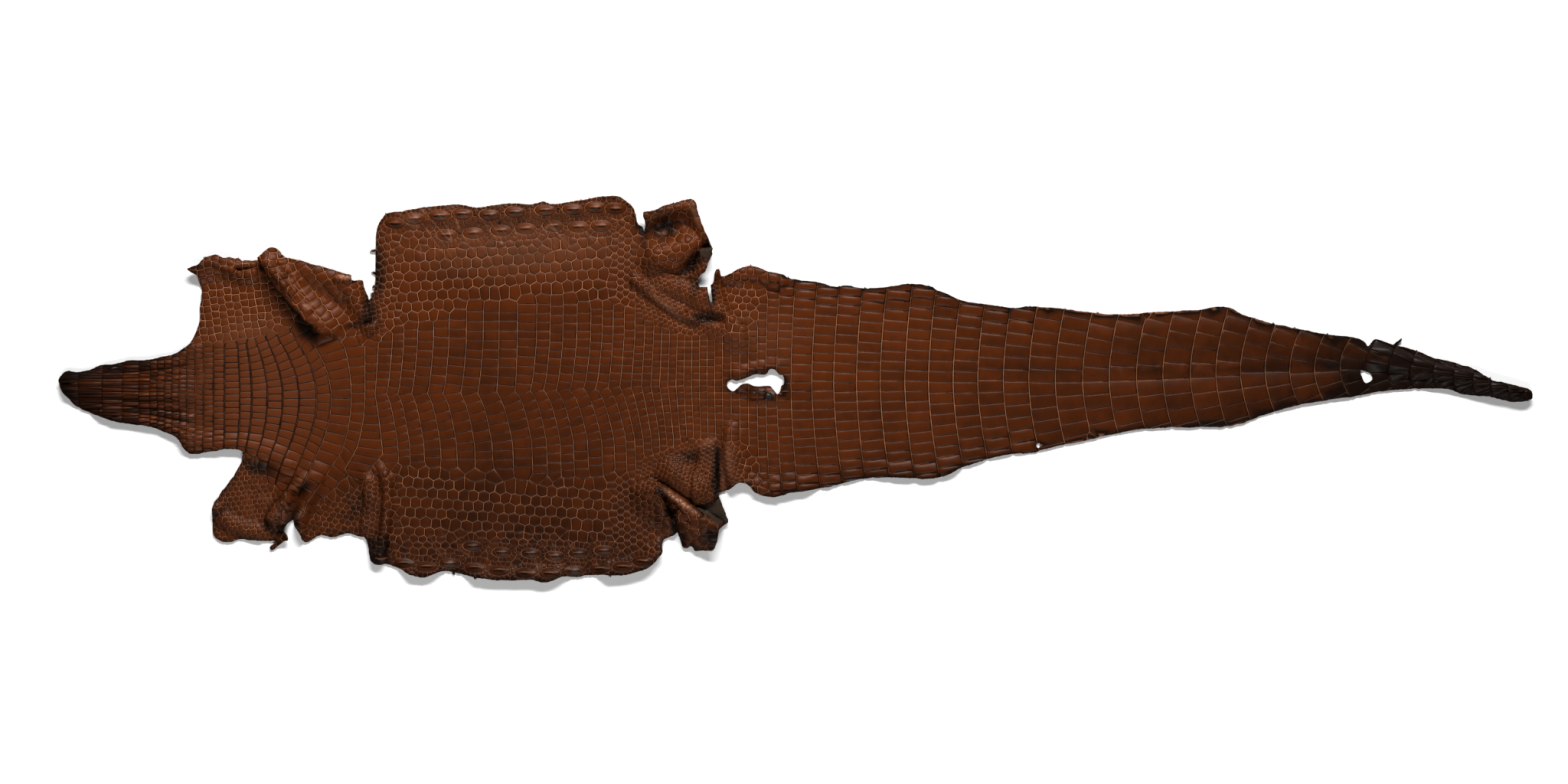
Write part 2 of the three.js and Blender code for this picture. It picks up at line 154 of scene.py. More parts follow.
# Shreds left on the cut edge by the knife: x and y at their root, and how far they reach.
SHREDS = (
    (-461, 152, -6.8, -0.8), (-461, 126, -4.5, 3), (-461, 113, -4.5, -1.5), (-462, 103, -4.5, 3),
    (-449, 190, 0, 3), (-381, 199, 0, 2.6), (-355, 197, 0, 2.6), (-320, 200, -0.8, 2.2),
    (-235, 205, 0, 2.6), (-226, 206, 0, 3.4), (-212, 208, 0, 3), (-143, 198, 0, 2.6),
    (-134, 201, 0.8, 2.2), (-157, 192, -0.8, 2.2), (-50, 133, 0.8, 3), (-9, 120, 0.8, 3),
    (48, 111, 0, 2.2), (76, 109, 0, 2.6), (122, 112, 0.8, 2.2), (257, 89, 0, 2.2),
    (295, 86, 0.8, 2.2), (331, 82, 0, 2.6), (500, 76, 0.8, 2.2), (523, 70, 0.8, 2.6),
    (546, 65, 1.5, 2.2), (582, 58, 1.5, 3), (600, 55, 1.5, 2.2), (655, 47, 10, 8),
    (680, 40, 1.5, 2.2), (758, 9, 3, 2.2), (-376, -201, 0, -3), (-352, -206, 0.8, -3),
    (-204, -203, 0, -3), (-566, -166, -9, -10), (-88, 126, 1.5, 4.5), (-30, -1, 3, -3.8),
    (-646, 142, -3, 2.2), (-611, 141, -2.2, 2.2), (-590, 139, -2.2, 2.2),
)

# The outline of a shred: how far along it, as a share of its reach, or below 0 in millimetres
# inside the edge, and how far aside, in half widths.
SHRED_SHAPE = (
    (-2.0, 1.4), (0.2, 1.1), (0.45, 1.5), (0.6, 0.95), (0.84, 1.25), (1.0, 0.8), (0.88, 0.3),
    (0.62, 0.25), (0.58, -0.3), (0.8, -0.75), (0.56, -1.15), (0.2, -1.0), (-2.0, -1.4),
)


@dataclass(frozen=True)
class Fold:
    """A rise of the sheet along a path, falling to the floor on both sides.

    Attributes:
        rise: height of the crest.
        left: how far it takes to fall on the path's left-hand side.
        right: the same on its right-hand side.
        path: the crest, seen from above.
        lean: how far the crest leans over to its right-hand side.
    """

    rise: float
    left: float
    right: float
    path: tuple
    lean: float = 0.0

    def reach(self, on_left: np.ndarray) -> np.ndarray:
        """How far it takes to fall, by how far a point is on the left-hand side."""
        return self.right + (self.left - self.right) * on_left


@dataclass(frozen=True)
class Crease:
    """A valley pressed into the folds.

    Attributes:
        press: share of the rise that it takes back.
        width: half its width.
        path: its line, seen from above.
    """

    press: float
    width: float
    path: tuple


FOLDS = {
    "neck_arch": Fold(6, 26, 26, ((-795, 4), (-740, -2), (-680, -4))),
    "neck_upper_rim": Fold(3, 12, 14, ((-750, 26), (-690, 30), (-660, 42))),
    "neck_lower_rim": Fold(4, 14, 16, ((-760, -28), (-700, -38), (-660, -62))),
    "shoulder_rim": Fold(8, 14, 22, ((-664, 130), (-632, 140), (-600, 130))),
    "shoulder_pucker": Fold(5, 5, 8, ((-618, 132), (-600, 127), (-588, 130))),
    "upper_left_crest": Fold(15, 34, 5, ((-584, 144), (-564, 112), (-542, 86), (-524, 68)), 3),
    "upper_left_crumple": Fold(17, 6, 5, ((-577, 140), (-562, 122), (-548, 104))),
    "upper_left_knob": Fold(13, 6, 6, ((-538, 92), (-530, 88))),
    "upper_left_rim": Fold(8, 20, 24, ((-560, 140), (-520, 124), (-492, 112))),
    "upper_left_curl": Fold(10, 4, 7, ((-503, 121), (-488, 119))),
    "upper_left_pinch": Fold(6, 9, 14, ((-490, 112), (-478, 88), (-466, 68))),
    "chest_lower_rim": Fold(5, 20, 14, ((-668, -60), (-606, -64), (-575, -74), (-560, -88))),
    "lower_left_rim": Fold(5, 14, 12, ((-638, -134), (-618, -150), (-590, -158))),
    "lower_left_pleat": Fold(9, 15, 9, ((-541, -98), (-558, -118), (-574, -142))),
    "lower_left_pucker": Fold(8, 6, 6, ((-552, -120), (-562, -136), (-563, -152))),
    "lower_left_swell": Fold(8, 7, 34, ((-524, -104), (-540, -130), (-543, -158))),
    "lower_left_pinch": Fold(4, 14, 9, ((-472, -96), (-468, -126), (-474, -150))),
    "belly_pinch": Fold(6, 8, 26, ((-449, -100), (-448, -134), (-456, -184))),
    "lower_flank_wave_a": Fold(5, 18, 18, ((-425, -204), (-400, -203))),
    "lower_flank_wave_b": Fold(6, 18, 18, ((-350, -208), (-280, -210), (-262, -206))),
    "lower_flank_wave_c": Fold(7, 16, 18, ((-205, -203), (-165, -196), (-150, -178))),
    "upper_flank_wave": Fold(4, 16, 16, ((-440, 188), (-350, 192), (-250, 198), (-196, 204))),
    "upper_right_rim": Fold(13, 12, 18, ((-166, 190), (-140, 196), (-114, 200))),
    "upper_right_side": Fold(12, 20, 12, ((-112, 200), (-104, 178), (-98, 162))),
    "upper_right_hump": Fold(14, 22, 30, ((-152, 146), (-132, 150), (-118, 158))),
    "upper_right_armpit": Fold(7, 18, 20, ((-146, 116), (-124, 108), (-104, 100))),
    "upper_right_root": Fold(6, 14, 9, ((-176, 118), (-140, 92), (-112, 76))),
    "upper_tail_root": Fold(8, 7, 40, ((-90, 118), (-84, 98), (-78, 82), (-64, 70))),
    "upper_tail_wave": Fold(6, 14, 14, ((-76, 124), (-45, 128), (-20, 118))),
    "lower_right_armpit": Fold(12, 26, 22, ((-134, -94), (-124, -104), (-118, -110))),
    "lower_right_roll": Fold(18, 9, 42, ((-146, -112), (-124, -126), (-108, -138), (-86, -152))),
    "lower_tail_root": Fold(8, 26, 7, ((-76, -52), (-74, -84), (-69, -108))),
    "lower_tail_wave": Fold(5, 18, 18, ((-60, -104), (-28, -114), (6, -108))),
    "lower_tail_bulge": Fold(3, 16, 16, ((100, -92), (145, -94), (170, -86))),
    "upper_tail_bulge": Fold(3, 18, 18, ((96, 106), (140, 108), (162, 98))),
    "tail_upper_half": Fold(3, 26, 30, ((330, 56), (470, 62), (560, 46))),
    "tail_lower_half": Fold(3, 26, 26, ((330, -8), (460, -10), (600, 8))),
    "tail_end_arch": Fold(8, 17, 16, ((636, 36), (700, 18), (752, 4), (798, -6))),
    "tail_end_ridge": Fold(9, 5, 6, ((640, 42), (700, 24), (748, 12))),
    "vent_rim": Fold(3, 10, 10, ((-66, 16), (-40, 24), (-14, 22), (-6, 6), (-16, -10), (-44, -8))),
}

CREASES = {
    "shoulder_pucker": Crease(0.8, 5, ((-612, 131), (-598, 132))),
    "lower_left_valley": Crease(0.95, 7, ((-544, -112), (-551, -132), (-552, -146))),
    "lower_left_body": Crease(0.9, 7, ((-459, -96), (-457, -120), (-457, -138), (-462, -158))),
    "lower_left_corner": Crease(0.6, 5, ((-622, -126), (-640, -142))),
    "upper_right_bowl": Crease(0.85, 15, ((-150, 172), (-140, 177), (-128, 184))),
    "upper_right_crease": Crease(0.9, 8, ((-98, 158), (-110, 140), (-128, 126))),
    "upper_right_body": Crease(0.9, 9, ((-116, 84), (-98, 77), (-84, 75))),
    "lower_right_body": Crease(0.95, 7, ((-88, -60), (-86, -96), (-84, -114))),
    "lower_right_roll_edge": Crease(0.95, 6, ((-143, -119), (-134, -144), (-128, -166))),
    "lower_right_line": Crease(0.25, 3, ((-134, -124), (-116, -146), (-92, -158))),
    "chest_lower_dip": Crease(0.8, 9, ((-608, -84), (-590, -90), (-574, -98))),
    "upper_left_body": Crease(0.9, 6, ((-496, 66), (-482, 72), (-466, 74))),
}


@dataclass(frozen=True)
class Lap:
    """A tongue of the sheet that stands away from what lies under it.

    Attributes:
        rows: its left and right end at each step along it, as x, y and lift, and x, y and lift.
        fall: how fast it drops to the rest beyond its ends.
        bare: whether its flesh side is turned up.
        steps: how many places it is sampled at along each stretch, and across it.
        full: how near to a sample it has its whole lift.
        blend: how gently the lift passes from one sample to the next.
    """

    rows: tuple
    fall: float = 3.0
    bare: bool = False
    steps: int = 8
    full: float = 1.0
    blend: float = 0.4

    def samples(self) -> np.ndarray:
        """Places on it, as x, y and lift, a row each."""
        rows = np.array(self.rows, float)
        found = []
        for before, after in zip(rows[:-1], rows[1:]):
            for share in np.linspace(0, 1, self.steps, endpoint=False):
                row = before + (after - before) * share
                width = row[3:] - row[:3]
                found += [row[:3] + width * k / self.steps for k in range(self.steps + 1)]
        return np.array(found)

    def rise(self, points: np.ndarray) -> tuple[np.ndarray, np.ndarray]:
        """How far it lifts points seen from above, and how much of it each of them meets."""
        samples = self.samples()
        lift = np.zeros(len(points))
        share = np.zeros(len(points))
        beyond = self.fall + 2
        low, high = samples[:, :2].min(0) - beyond, samples[:, :2].max(0) + beyond
        near = np.nonzero(((points > low) & (points < high)).all(1))[0]
        if not len(near):
            return lift, share
        gap = np.linalg.norm(points[near, None] - samples[None, :, :2], axis=2)
        weight = 1 / (gap * gap + self.blend) ** 2
        share[near] = hill(np.maximum(gap.min(1) - self.full, 0), self.fall)
        lift[near] = (weight @ samples[:, 2]) / weight.sum(1) * share[near]
        return lift, share


# Small ripples that run along the leather: height, half their width, and their path.
RIPPLES = (
    (2.2, 4.0, ((-806, 10), (-770, 17), (-715, 24), (-672, 30))),
    (1.8, 3.2, ((-790, 10), (-748, 14), (-700, 18), (-668, 20))),
    (2.4, 3.6, ((-802, 6), (-756, 6), (-712, 9), (-676, 12))),
    (1.8, 3.0, ((-770, 0), (-738, 0), (-704, 3), (-680, 4))),
    (2.6, 4.2, ((-800, -2), (-764, -6), (-722, -8), (-682, -8))),
    (2.2, 3.2, ((-784, -12), (-752, -14), (-708, -18), (-674, -20))),
    (3.0, 3.4, ((-782, -17), (-746, -21), (-702, -26), (-664, -32))),
    (2.4, 3.0, ((-764, -24), (-736, -28), (-700, -33), (-668, -42))),
    (2.6, 3.2, ((-750, -31), (-716, -35), (-688, -41), (-664, -54))),
    (2.4, 2.8, ((-580, 138), (-566, 124), (-553, 105))),
    (2.0, 2.6, ((-573, 141), (-559, 126), (-546, 112))),
    (2.2, 3.0, ((-564, 140), (-552, 127), (-541, 118))),
    (1.8, 2.8, ((-640, 138), (-624, 132), (-606, 124))), (2.4, 2.8, ((-570, -128), (-580, -142))),
    (2.8, 2.6, ((-562, -124), (-571, -150))), (2.6, 2.6, ((-555, -126), (-562, -150))),
    (2.2, 2.6, ((-548, -100), (-560, -116), (-566, -122))),
    (1.6, 3.0, ((-522, -112), (-536, -136), (-540, -156))),
    (1.6, 3.0, ((-508, -116), (-522, -138), (-528, -158))),
    (2.0, 3.0, ((-147, 136), (-130, 132), (-112, 134))),
    (1.8, 2.6, ((-146, 126), (-128, 122), (-112, 124))),
    (1.6, 2.8, ((-140, -128), (-122, -148), (-104, -162))),
    (1.8, 3.0, ((-128, -134), (-108, -150), (-92, -158))),
    (2.0, 3.0, ((-64, -2), (-54, -5), (-40, -4), (-30, -7))),
    (1.6, 2.4, ((-60, -7), (-46, -9), (-36, -8))),
    (1.0, 2.4, ((312, 15), (380, 18), (470, 24), (560, 26))),
    (0.8, 2.0, ((330, 21), (420, 26), (520, 28))),
    (2.0, 3.0, ((640, 28), (690, 21), (735, 12), (780, -2))),
    (2.2, 2.8, ((650, 18), (700, 14), (745, 5), (790, -6))),
    (2.0, 2.8, ((660, 8), (710, 5), (752, -1), (796, -9))),
    (1.8, 2.4, ((690, 3), (728, -2), (766, -6))),
    (2.0, 2.4, ((712, 24), (748, 14), (776, 4), (800, -4))),
)

# Where the leather is crumpled: oval patches, by their middle, length, width, turn in degrees and
# the crumples' height.
CRUMPLED_PATCHES = (
    (-563, -130, 56, 22, 60, 3.2), (-556, 116, 56, 20, -52, 2.6), (-606, 132, 30, 12, 0, 2.0),
    (-460, -176, 22, 40, 0, 2.4), (-478, -94, 26, 12, -10, 2.0), (-100, 84, 40, 14, 10, 2.0),
    (-88, -64, 22, 20, 0, 1.6),
)

LAPS = {
    "upper_right_curl": Lap(
        ((-104, 151, 8, -92.5, 151.5, 9), (-107, 143, 7, -95.5, 143, 9),
         (-109, 135, 4, -99, 134, 6), (-110, 126, 1, -104, 125, 1)), 2.2,
    ),
    "upper_right_turned": Lap(
        ((-102, 152, 1, -94, 152, 1), (-103, 146, 1, -96, 145, 1)), 1.6, True,
    ),
    "lower_right_tongue": Lap(
        ((-103, -62, 0, -91, -62, 0), (-105, -80, 5, -90, -80, 6), (-110, -97, 7, -90, -97, 11),
         (-112, -112, 8, -89, -110, 13), (-109.5, -127, 8, -92, -121, 13)), 3.0,
    ),
    "lower_right_corner": Lap(
        ((-107, -130, 4, -82, -122, 9), (-96, -138, 5, -78, -133, 10),
         (-86, -147, 2, -75.5, -145, 4)), 2.2, True,
    ),
}


# The lines between the rows of scales, by where they cross the middle of the skin.
NECK_LINES = (-814, -786, -760, -738, -720, -708)
CHEST_LINES = (
    -700, -692, -684, -676, -668, -659, -650, -639, -627, -610, -597, -580, -563, -545, -526,
    -510, -488, -473,
)
BELLY_LINES = (
    -462, -450, -437.5, -422.5, -405, -388, -369, -350.5, -329, -309, -293, -278.5, -264.5,
    -249.5, -234.5, -220.5, -207, -194, -181.5, -170,
)
LOIN_LINES = (
    -159.5, -150, -141, -132, -123.5, -115, -106.5, -98, -89.5, -81, -71.5, -62, -52.5,
    -43, -33.5, -21.5, -6,
)
TAIL_LINES = (
    17, 41, 66, 92, 119, 145, 172, 199, 227, 255, 284, 314, 343, 373, 402, 432, 460, 487, 514,
    541, 568, 596, 623, 648, 672, 697, 719, 740, 760, 779, 797, 815,
)
ROW_LINES = NECK_LINES + CHEST_LINES + BELLY_LINES + LOIN_LINES + TAIL_LINES

# How far the rows run to each side of their seam, and where they don't start from it evenly.
ROW_REACH = 140
SEAMLESS = (-706, -466)

# Where the rows fade into streaks towards the cut edge, and how near to it.
STREAKED = (-40, 260)
STREAK_WIDTH = 46.0

# How the row lines bow: where a line crosses the middle, the height of that middle, how far the
# line has gone along x at `reach` above it and below it, that reach, the power it bows by, and
# how steeply it goes on from there.
ROW_BOWS = (
    (-812, 2, 0, 0, 60, 2, 1), (-620, -10, 0, 0, 60, 2, 1.6), (-597, -10, -6, -7, 60, 2, 1.6),
    (-580, -10, -12, -10, 60, 2, 1.6), (-563, -10, -16, -12, 60, 2, 1.6),
    (-545, -10, -20, -14, 60, 2, 1.6), (-510, -10, -21, -15, 60, 2, 1.7),
    (-488, -8, -9, -10, 60, 2, 4), (-473, -6, 0, -9, 60, 2, 4), (-462, -6, 4, 8, 60, 0.8, 0.4),
    (-450, -6, 7, 13, 55, 0.6, 0.2), (-350, -6, 7, 17, 55, 0.55, 0.1),
    (-329, -6, 3, 18, 55, 0.55, 0.1), (-309, -5, 3, 19, 55, 0.5, 0.1),
    (-293, -3, 8, 19, 55, 0.5, 0.1), (-235, -1, 9, 21, 55, 0.55, 0.1),
    (-207, 1, 6, 20, 55, 0.6, 0.1), (-176, 2, 4, 12, 55, 0.8, 0.2), (-120, 4, 1, 3, 60, 1, 0.5),
    (-60, 4, 0, 0, 90, 1.6, 1), (17, 6, 6, 9, 110, 1.6, 1.1), (145, 8, 8, 11, 100, 1.6, 1.1),
    (314, 10, 10, 13, 72, 1.8, 1.1), (460, 18, 12, 14, 64, 1.8, 1.1),
    (596, 22, 12, 14, 34, 2, 1.1), (697, 18, 8, 8, 20, 2, 1.1), (815, -7, 3, 3, 10, 2, 1.1),
)

# The width of a scale across the rows, and the band in which the rows run: x, width, y to y.
ROW_BANDS = (
    (-812, 1.7, -60, 60), (-788, 2.5, -60, 60), (-760, 3.1, -60, 60), (-720, 3.9, -80, 80),
    (-690, 4.6, -80, 50), (-660, 5.4, -80, 48), (-640, 6.0, -66, 50), (-610, 7.4, -70, 54),
    (-580, 8.0, -76, 54), (-563, 8.2, -96, 58), (-545, 8.4, -106, 62), (-526, 8.6, -112, 66),
    (-512, 9.5, -165, 66), (-490, 10.5, -165, 56), (-474, 10.0, -118, 52), (-462, 8.4, -84, 56),
    (-445, 8.4, -86, 66), (-420, 9.6, -88, 74), (-400, 10.2, -90, 80), (-345, 10.2, -94, 96),
    (-300, 9.8, -98, 100), (-240, 9.2, -96, 98), (-200, 8.4, -90, 92), (-176, 7.6, -76, 82),
    (-150, 7.2, -66, 68), (-118, 7.0, -52, 58), (-60, 8.0, -58, 60), (-44, 8.6, -72, 76),
    (-34, 9.0, -130, 130), (0, 10.0, -130, 130), (60, 10.6, -130, 130), (145, 11.4, -130, 130),
    (220, 12.8, -130, 130), (400, 16.6, -130, 130), (500, 15.5, -130, 130),
    (600, 13.0, -130, 130), (640, 10.0, -130, 130), (700, 6.0, -130, 130),
    (760, 4.0, -130, 130), (815, 2.8, -130, 130),
)

# The dividers run along the skin from this seam: x, y.
TAIL_SEAM = (
    (-812, 4), (-780, 0), (-700, -5), (-600, -10), (-460, -6), (-330, -6), (-240, -1), (-170, 2),
    (-80, 4), (17, 8), (220, 8), (314, 8), (400, 9.5), (500, 17), (596, 20), (697, 16),
    (815, -6),
)

# How the scales in rows look: x, groove between rows, groove in the row, rounding, crown, paleness.
ROW_LOOKS = (
    (-812, 0.1, 0.8, 0.3, 0.35, 0.0), (-715, 0.15, 0.8, 0.3, 0.35, 0.05),
    (-700, 0.5, 0.8, 0.4, 0.4, 0.15), (-660, 0.8, 0.8, 0.4, 0.4, 0.5),
    (-620, 1.3, 0.6, 0.25, 0.3, 0.1), (-525, 1.5, 0.6, 0.2, 0.25, 0.1),
    (-510, 1.4, 0.6, 0.2, 0.25, 0.7),
    (-459, 1.5, 0.5, 0.2, 0.22, 0.85), (-176, 1.4, 0.5, 0.2, 0.22, 0.85),
    (-60, 1.1, 0.6, 0.25, 0.25, 0.8), (17, 1.4, 0.7, 0.15, 0.25, 0.9),
    (120, 1.7, 0.7, 0.12, 0.3, 1.0), (600, 1.8, 0.7, 0.12, 0.3, 0.9),
    (650, 1.0, 0.6, 0.2, 0.3, 0.3), (700, 0.4, 0.7, 0.3, 0.3, 0.1),
    (720, 0.1, 0.7, 0.3, 0.3, 0.0), (815, 0.1, 0.7, 0.3, 0.3, 0.0),
)


@dataclass(frozen=True)
class Bosses:
    """A row of keeled oval scales.

    Attributes:
        places: the middle of each.
        length: of one, along the row.
        width: across it.
        keel: how much its keel stands above the rest of it.
        tilt: how far the keel lies off its middle, across the row.
    """

    places: tuple
    length: float
    width: float
    keel: float
    tilt: float

    def oval(self, x: float, y: float, share: float, count: int) -> list[tuple[float, float]]:
        """Places round the middle of one, on an oval of that share of its size."""
        along, across = self.length / 2 * share, self.width / 2 * share
        angles = [2 * math.pi * (k + 0.5) / count for k in range(count)]
        return [(x + along * math.cos(a), y + across * math.sin(a)) for a in angles]

    def rounded(self, x: float, y: float, points: np.ndarray) -> np.ndarray:
        """Points of the outline of one, moved onto its oval."""
        size = (self.length / 2, self.width / 2)
        away = (points - (x, y)) / size
        away /= np.maximum(np.hypot(away[:, 0], away[:, 1]), 0.1)[:, None]
        return away * size + (x, y)


BOSSES = (
    Bosses(((-440, 182), (-418, 187), (-391, 190), (-366, 192), (-336, 191), (-308, 194),
            (-275, 196), (-245, 197), (-220, 199), (-198, 198)), 24, 13, 2.0, 0.5),
    Bosses(((-383, 169), (-354, 171), (-324, 174), (-297, 176), (-267, 179), (-239, 178),
            (-214, 179)), 24, 14, 1.3, 0.5),
    Bosses(((-455, -186), (-430, -191), (-405, -195), (-380, -191), (-352, -196), (-325, -199),
            (-297, -202), (-270, -202), (-243, -199), (-215, -197), (-190, -195),
            (-168, -189)), 24, 12, 1.8, 0.5),
    Bosses(((-355, -172), (-323, -179), (-291, -180), (-265, -183), (-239, -180),
            (-211, -177)), 22, 12, 1.2, 0.5),
)
BOSS_PLACES = tuple((x, y, bosses) for bosses in BOSSES for x, y in bosses.places)


# How dark the leather has become along the skin.
AGE_ALONG = (
    (-812, 0.5), (-740, 0.2), (-690, 0.1), (-660, 0.04), (-610, -0.16), (-500, -0.04),
    (-350, 0.22), (-200, 0.14), (-100, 0.0), (100, 0.12), (300, 0.28), (450, 0.4), (560, 0.55),
    (625, 0.8), (660, 1.1), (815, 1.3),
)
# Painted shade across the skin: darker towards its lower side.
SHADE_ACROSS = ((-210, 0.46), (-110, 0.36), (-70, 0.12), (60, 0.0), (210, 0.0))

# Oval patches, by their middle, length, width, turn in degrees and strength.
# Patches painted darker: painted shade in the pockets, creases, cavities and hollows of the folds
# and under curled rims and laps, and some darker streaks along the neck and tail.
SHADE_AND_DARK_PATCHES = (
    (-553, 91, 98, 11, -50, 1.5), (-536, 67, 36, 22, -46, 1.7), (-562, 122, 50, 22, -52, 0.45),
    (-655, 132, 60, 16, 16, 0.6), (-604, 131, 24, 8, 10, 0.8), (-590, -86, 50, 18, -16, 1.1),
    (-630, -134, 30, 10, 50, 0.6), (-552, -146, 34, 16, 74, 1.2), (-538, -108, 22, 14, 50, 0.8),
    (-572, -152, 36, 16, -20, 0.7), (-482, -125, 40, 60, 0, 0.3), (-457, 130, 16, 84, 0, 0.8),
    (-468, 84, 22, 44, 12, 1.0), (-484, 70, 44, 10, 8, 0.9), (-458, -176, 30, 44, 0, 0.7),
    (-46, -4, 60, 9, -6, 0.8), (-12, 2, 12, 26, 0, 0.7), (-40, 20, 70, 7, 12, 0.5),
    (-144, 176, 40, 30, 12, 1.1), (-112, 140, 60, 20, 50, 1.1), (-140, 194, 60, 14, 14, 0.35),
    (-99, 78, 52, 16, 6, 1.2), (-91, 104, 44, 12, 84, 0.8), (-168, 170, 12, 46, 8, 0.8),
    (-112, 112, 14, 34, 0, 0.6), (-87, -86, 72, 12, 88, 1.2), (-114, -74, 54, 20, 10, 0.7),
    (-134, -146, 64, 11, -70, 1.1), (-100, -134, 30, 12, -28, 1.0), (-92, -160, 34, 24, 10, 0.7),
    (-148, -112, 16, 12, 0, 0.8), (-60, -112, 30, 14, 10, 0.5), (-790, 14, 40, 12, 4, 0.7),
    (-700, -28, 90, 8, -10, 0.5), (-730, 22, 100, 7, 8, 0.5), (-666, -10, 12, 60, 0, 0.25),
    (330, 20, 420, 9, 0, 0.25), (540, 25, 200, 10, 2, 0.3), (460, -38, 60, 9, 6, 0.5),
)
# Patches painted paler: painted highlights on the crests of folds, rolls and curled edges, painted
# light on the broad upper side, and rubbed, pale spots.
WEAR_AND_HIGHLIGHT_PATCHES = (
    (-533, 91, 9, 7, 35, 0.6), (-495, 122, 18, 5, -8, 0.9), (-543, -137, 26, 6, 52, 0.35),
    (-563, -138, 36, 24, 50, 0.2), (-545, -102, 24, 6, 55, 0.3), (-468, -97, 11, 8, 0, 0.5),
    (-140, 89, 64, 7, -38, 0.45), (-146, 171, 11, 7, 0, 0.5), (-126, -124, 58, 5, -37, 0.9),
    (-76, -84, 70, 16, 86, 0.2), (-96, -58, 22, 12, 20, 0.3), (-590, 0, 190, 190, 0, 0.09),
    (-110, 190, 40, 8, -70, 0.3), (-28, -1, 14, 6, 0, 0.7), (-422, 183, 24, 12, -20, 0.35),
    (-600, 60, 90, 50, 0, 0.06), (-300, 155, 290, 80, 0, 0.14), (-40, 60, 120, 60, 0, 0.06),
)
WRINKLED_PATCHES = (
    (-380, 172, 220, 80, -10, 1.0), (-240, 178, 180, 60, 0, 0.7), (-600, 110, 110, 70, -10, 0.6),
    (-540, 115, 110, 60, -30, 0.8), (-600, -130, 90, 80, 0, 0.5), (-480, -130, 60, 80, 0, 0.6),
    (-300, -180, 300, 60, 0, 0.5), (-150, -140, 60, 90, 0, 0.6), (-130, 90, 110, 60, -30, 0.6),
)
RIDGED_PATCHES = (
    (-745, -2, 190, 110, -4, 1.2), (730, 14, 220, 80, -14, 1.2), (430, 20, 260, 22, 0, 0.8),
    (610, 22, 160, 26, 0, 0.9), (-540, -120, 70, 40, 55, 0.5),
)

# How far a lattice of scales reaches from the middle of its stretch.
LATTICE_REACH = 200


@dataclass(frozen=True)
class ScaleField:
    """A stretch of leather whose scales lie in a lattice of their own.

    Attributes:
        corners: its outline, seen from above.
        along: pitch of the scales along the lattice.
        across: pitch across it.
        turn: the lattice's turn, in degrees.
        scatter: how far a scale strays, as a share of the pitch.
        rounding: how round the scales are, from 0 to 1.
        crown: how high the middle of a scale stands.
        brick: how far every second row is shifted, as a share of the pitch.
    """

    corners: tuple
    along: float
    across: float
    turn: float = 0.0
    scatter: float = 0.14
    rounding: float = 0.75
    crown: float = 0.45
    brick: float = 0.5

    def lattice(self, rng: np.random.Generator) -> np.ndarray:
        """The places where scales may have their middles, inside the outline and round it."""
        turn = math.radians(self.turn)
        ahead = np.array([math.cos(turn), math.sin(turn)])
        side = np.array([-ahead[1], ahead[0]])
        middle = np.mean(np.array(self.corners, float), axis=0)
        rows, places = int(LATTICE_REACH / self.across), int(LATTICE_REACH / self.along)
        found = []
        for j in range(-rows, rows + 1):
            for i in range(-places, places + 1):
                stray = rng.uniform(-1, 1, 2) * self.scatter
                u = (i + self.brick * (j % 2) + stray[0]) * self.along
                v = (j + stray[1]) * self.across
                found.append(middle + ahead * u + side * v)
        return np.array(found)


def box_corners(left: float, low: float, right: float, high: float) -> tuple:
    """The corners of an upright box."""
    return ((left, low), (right, low), (right, high), (left, high))


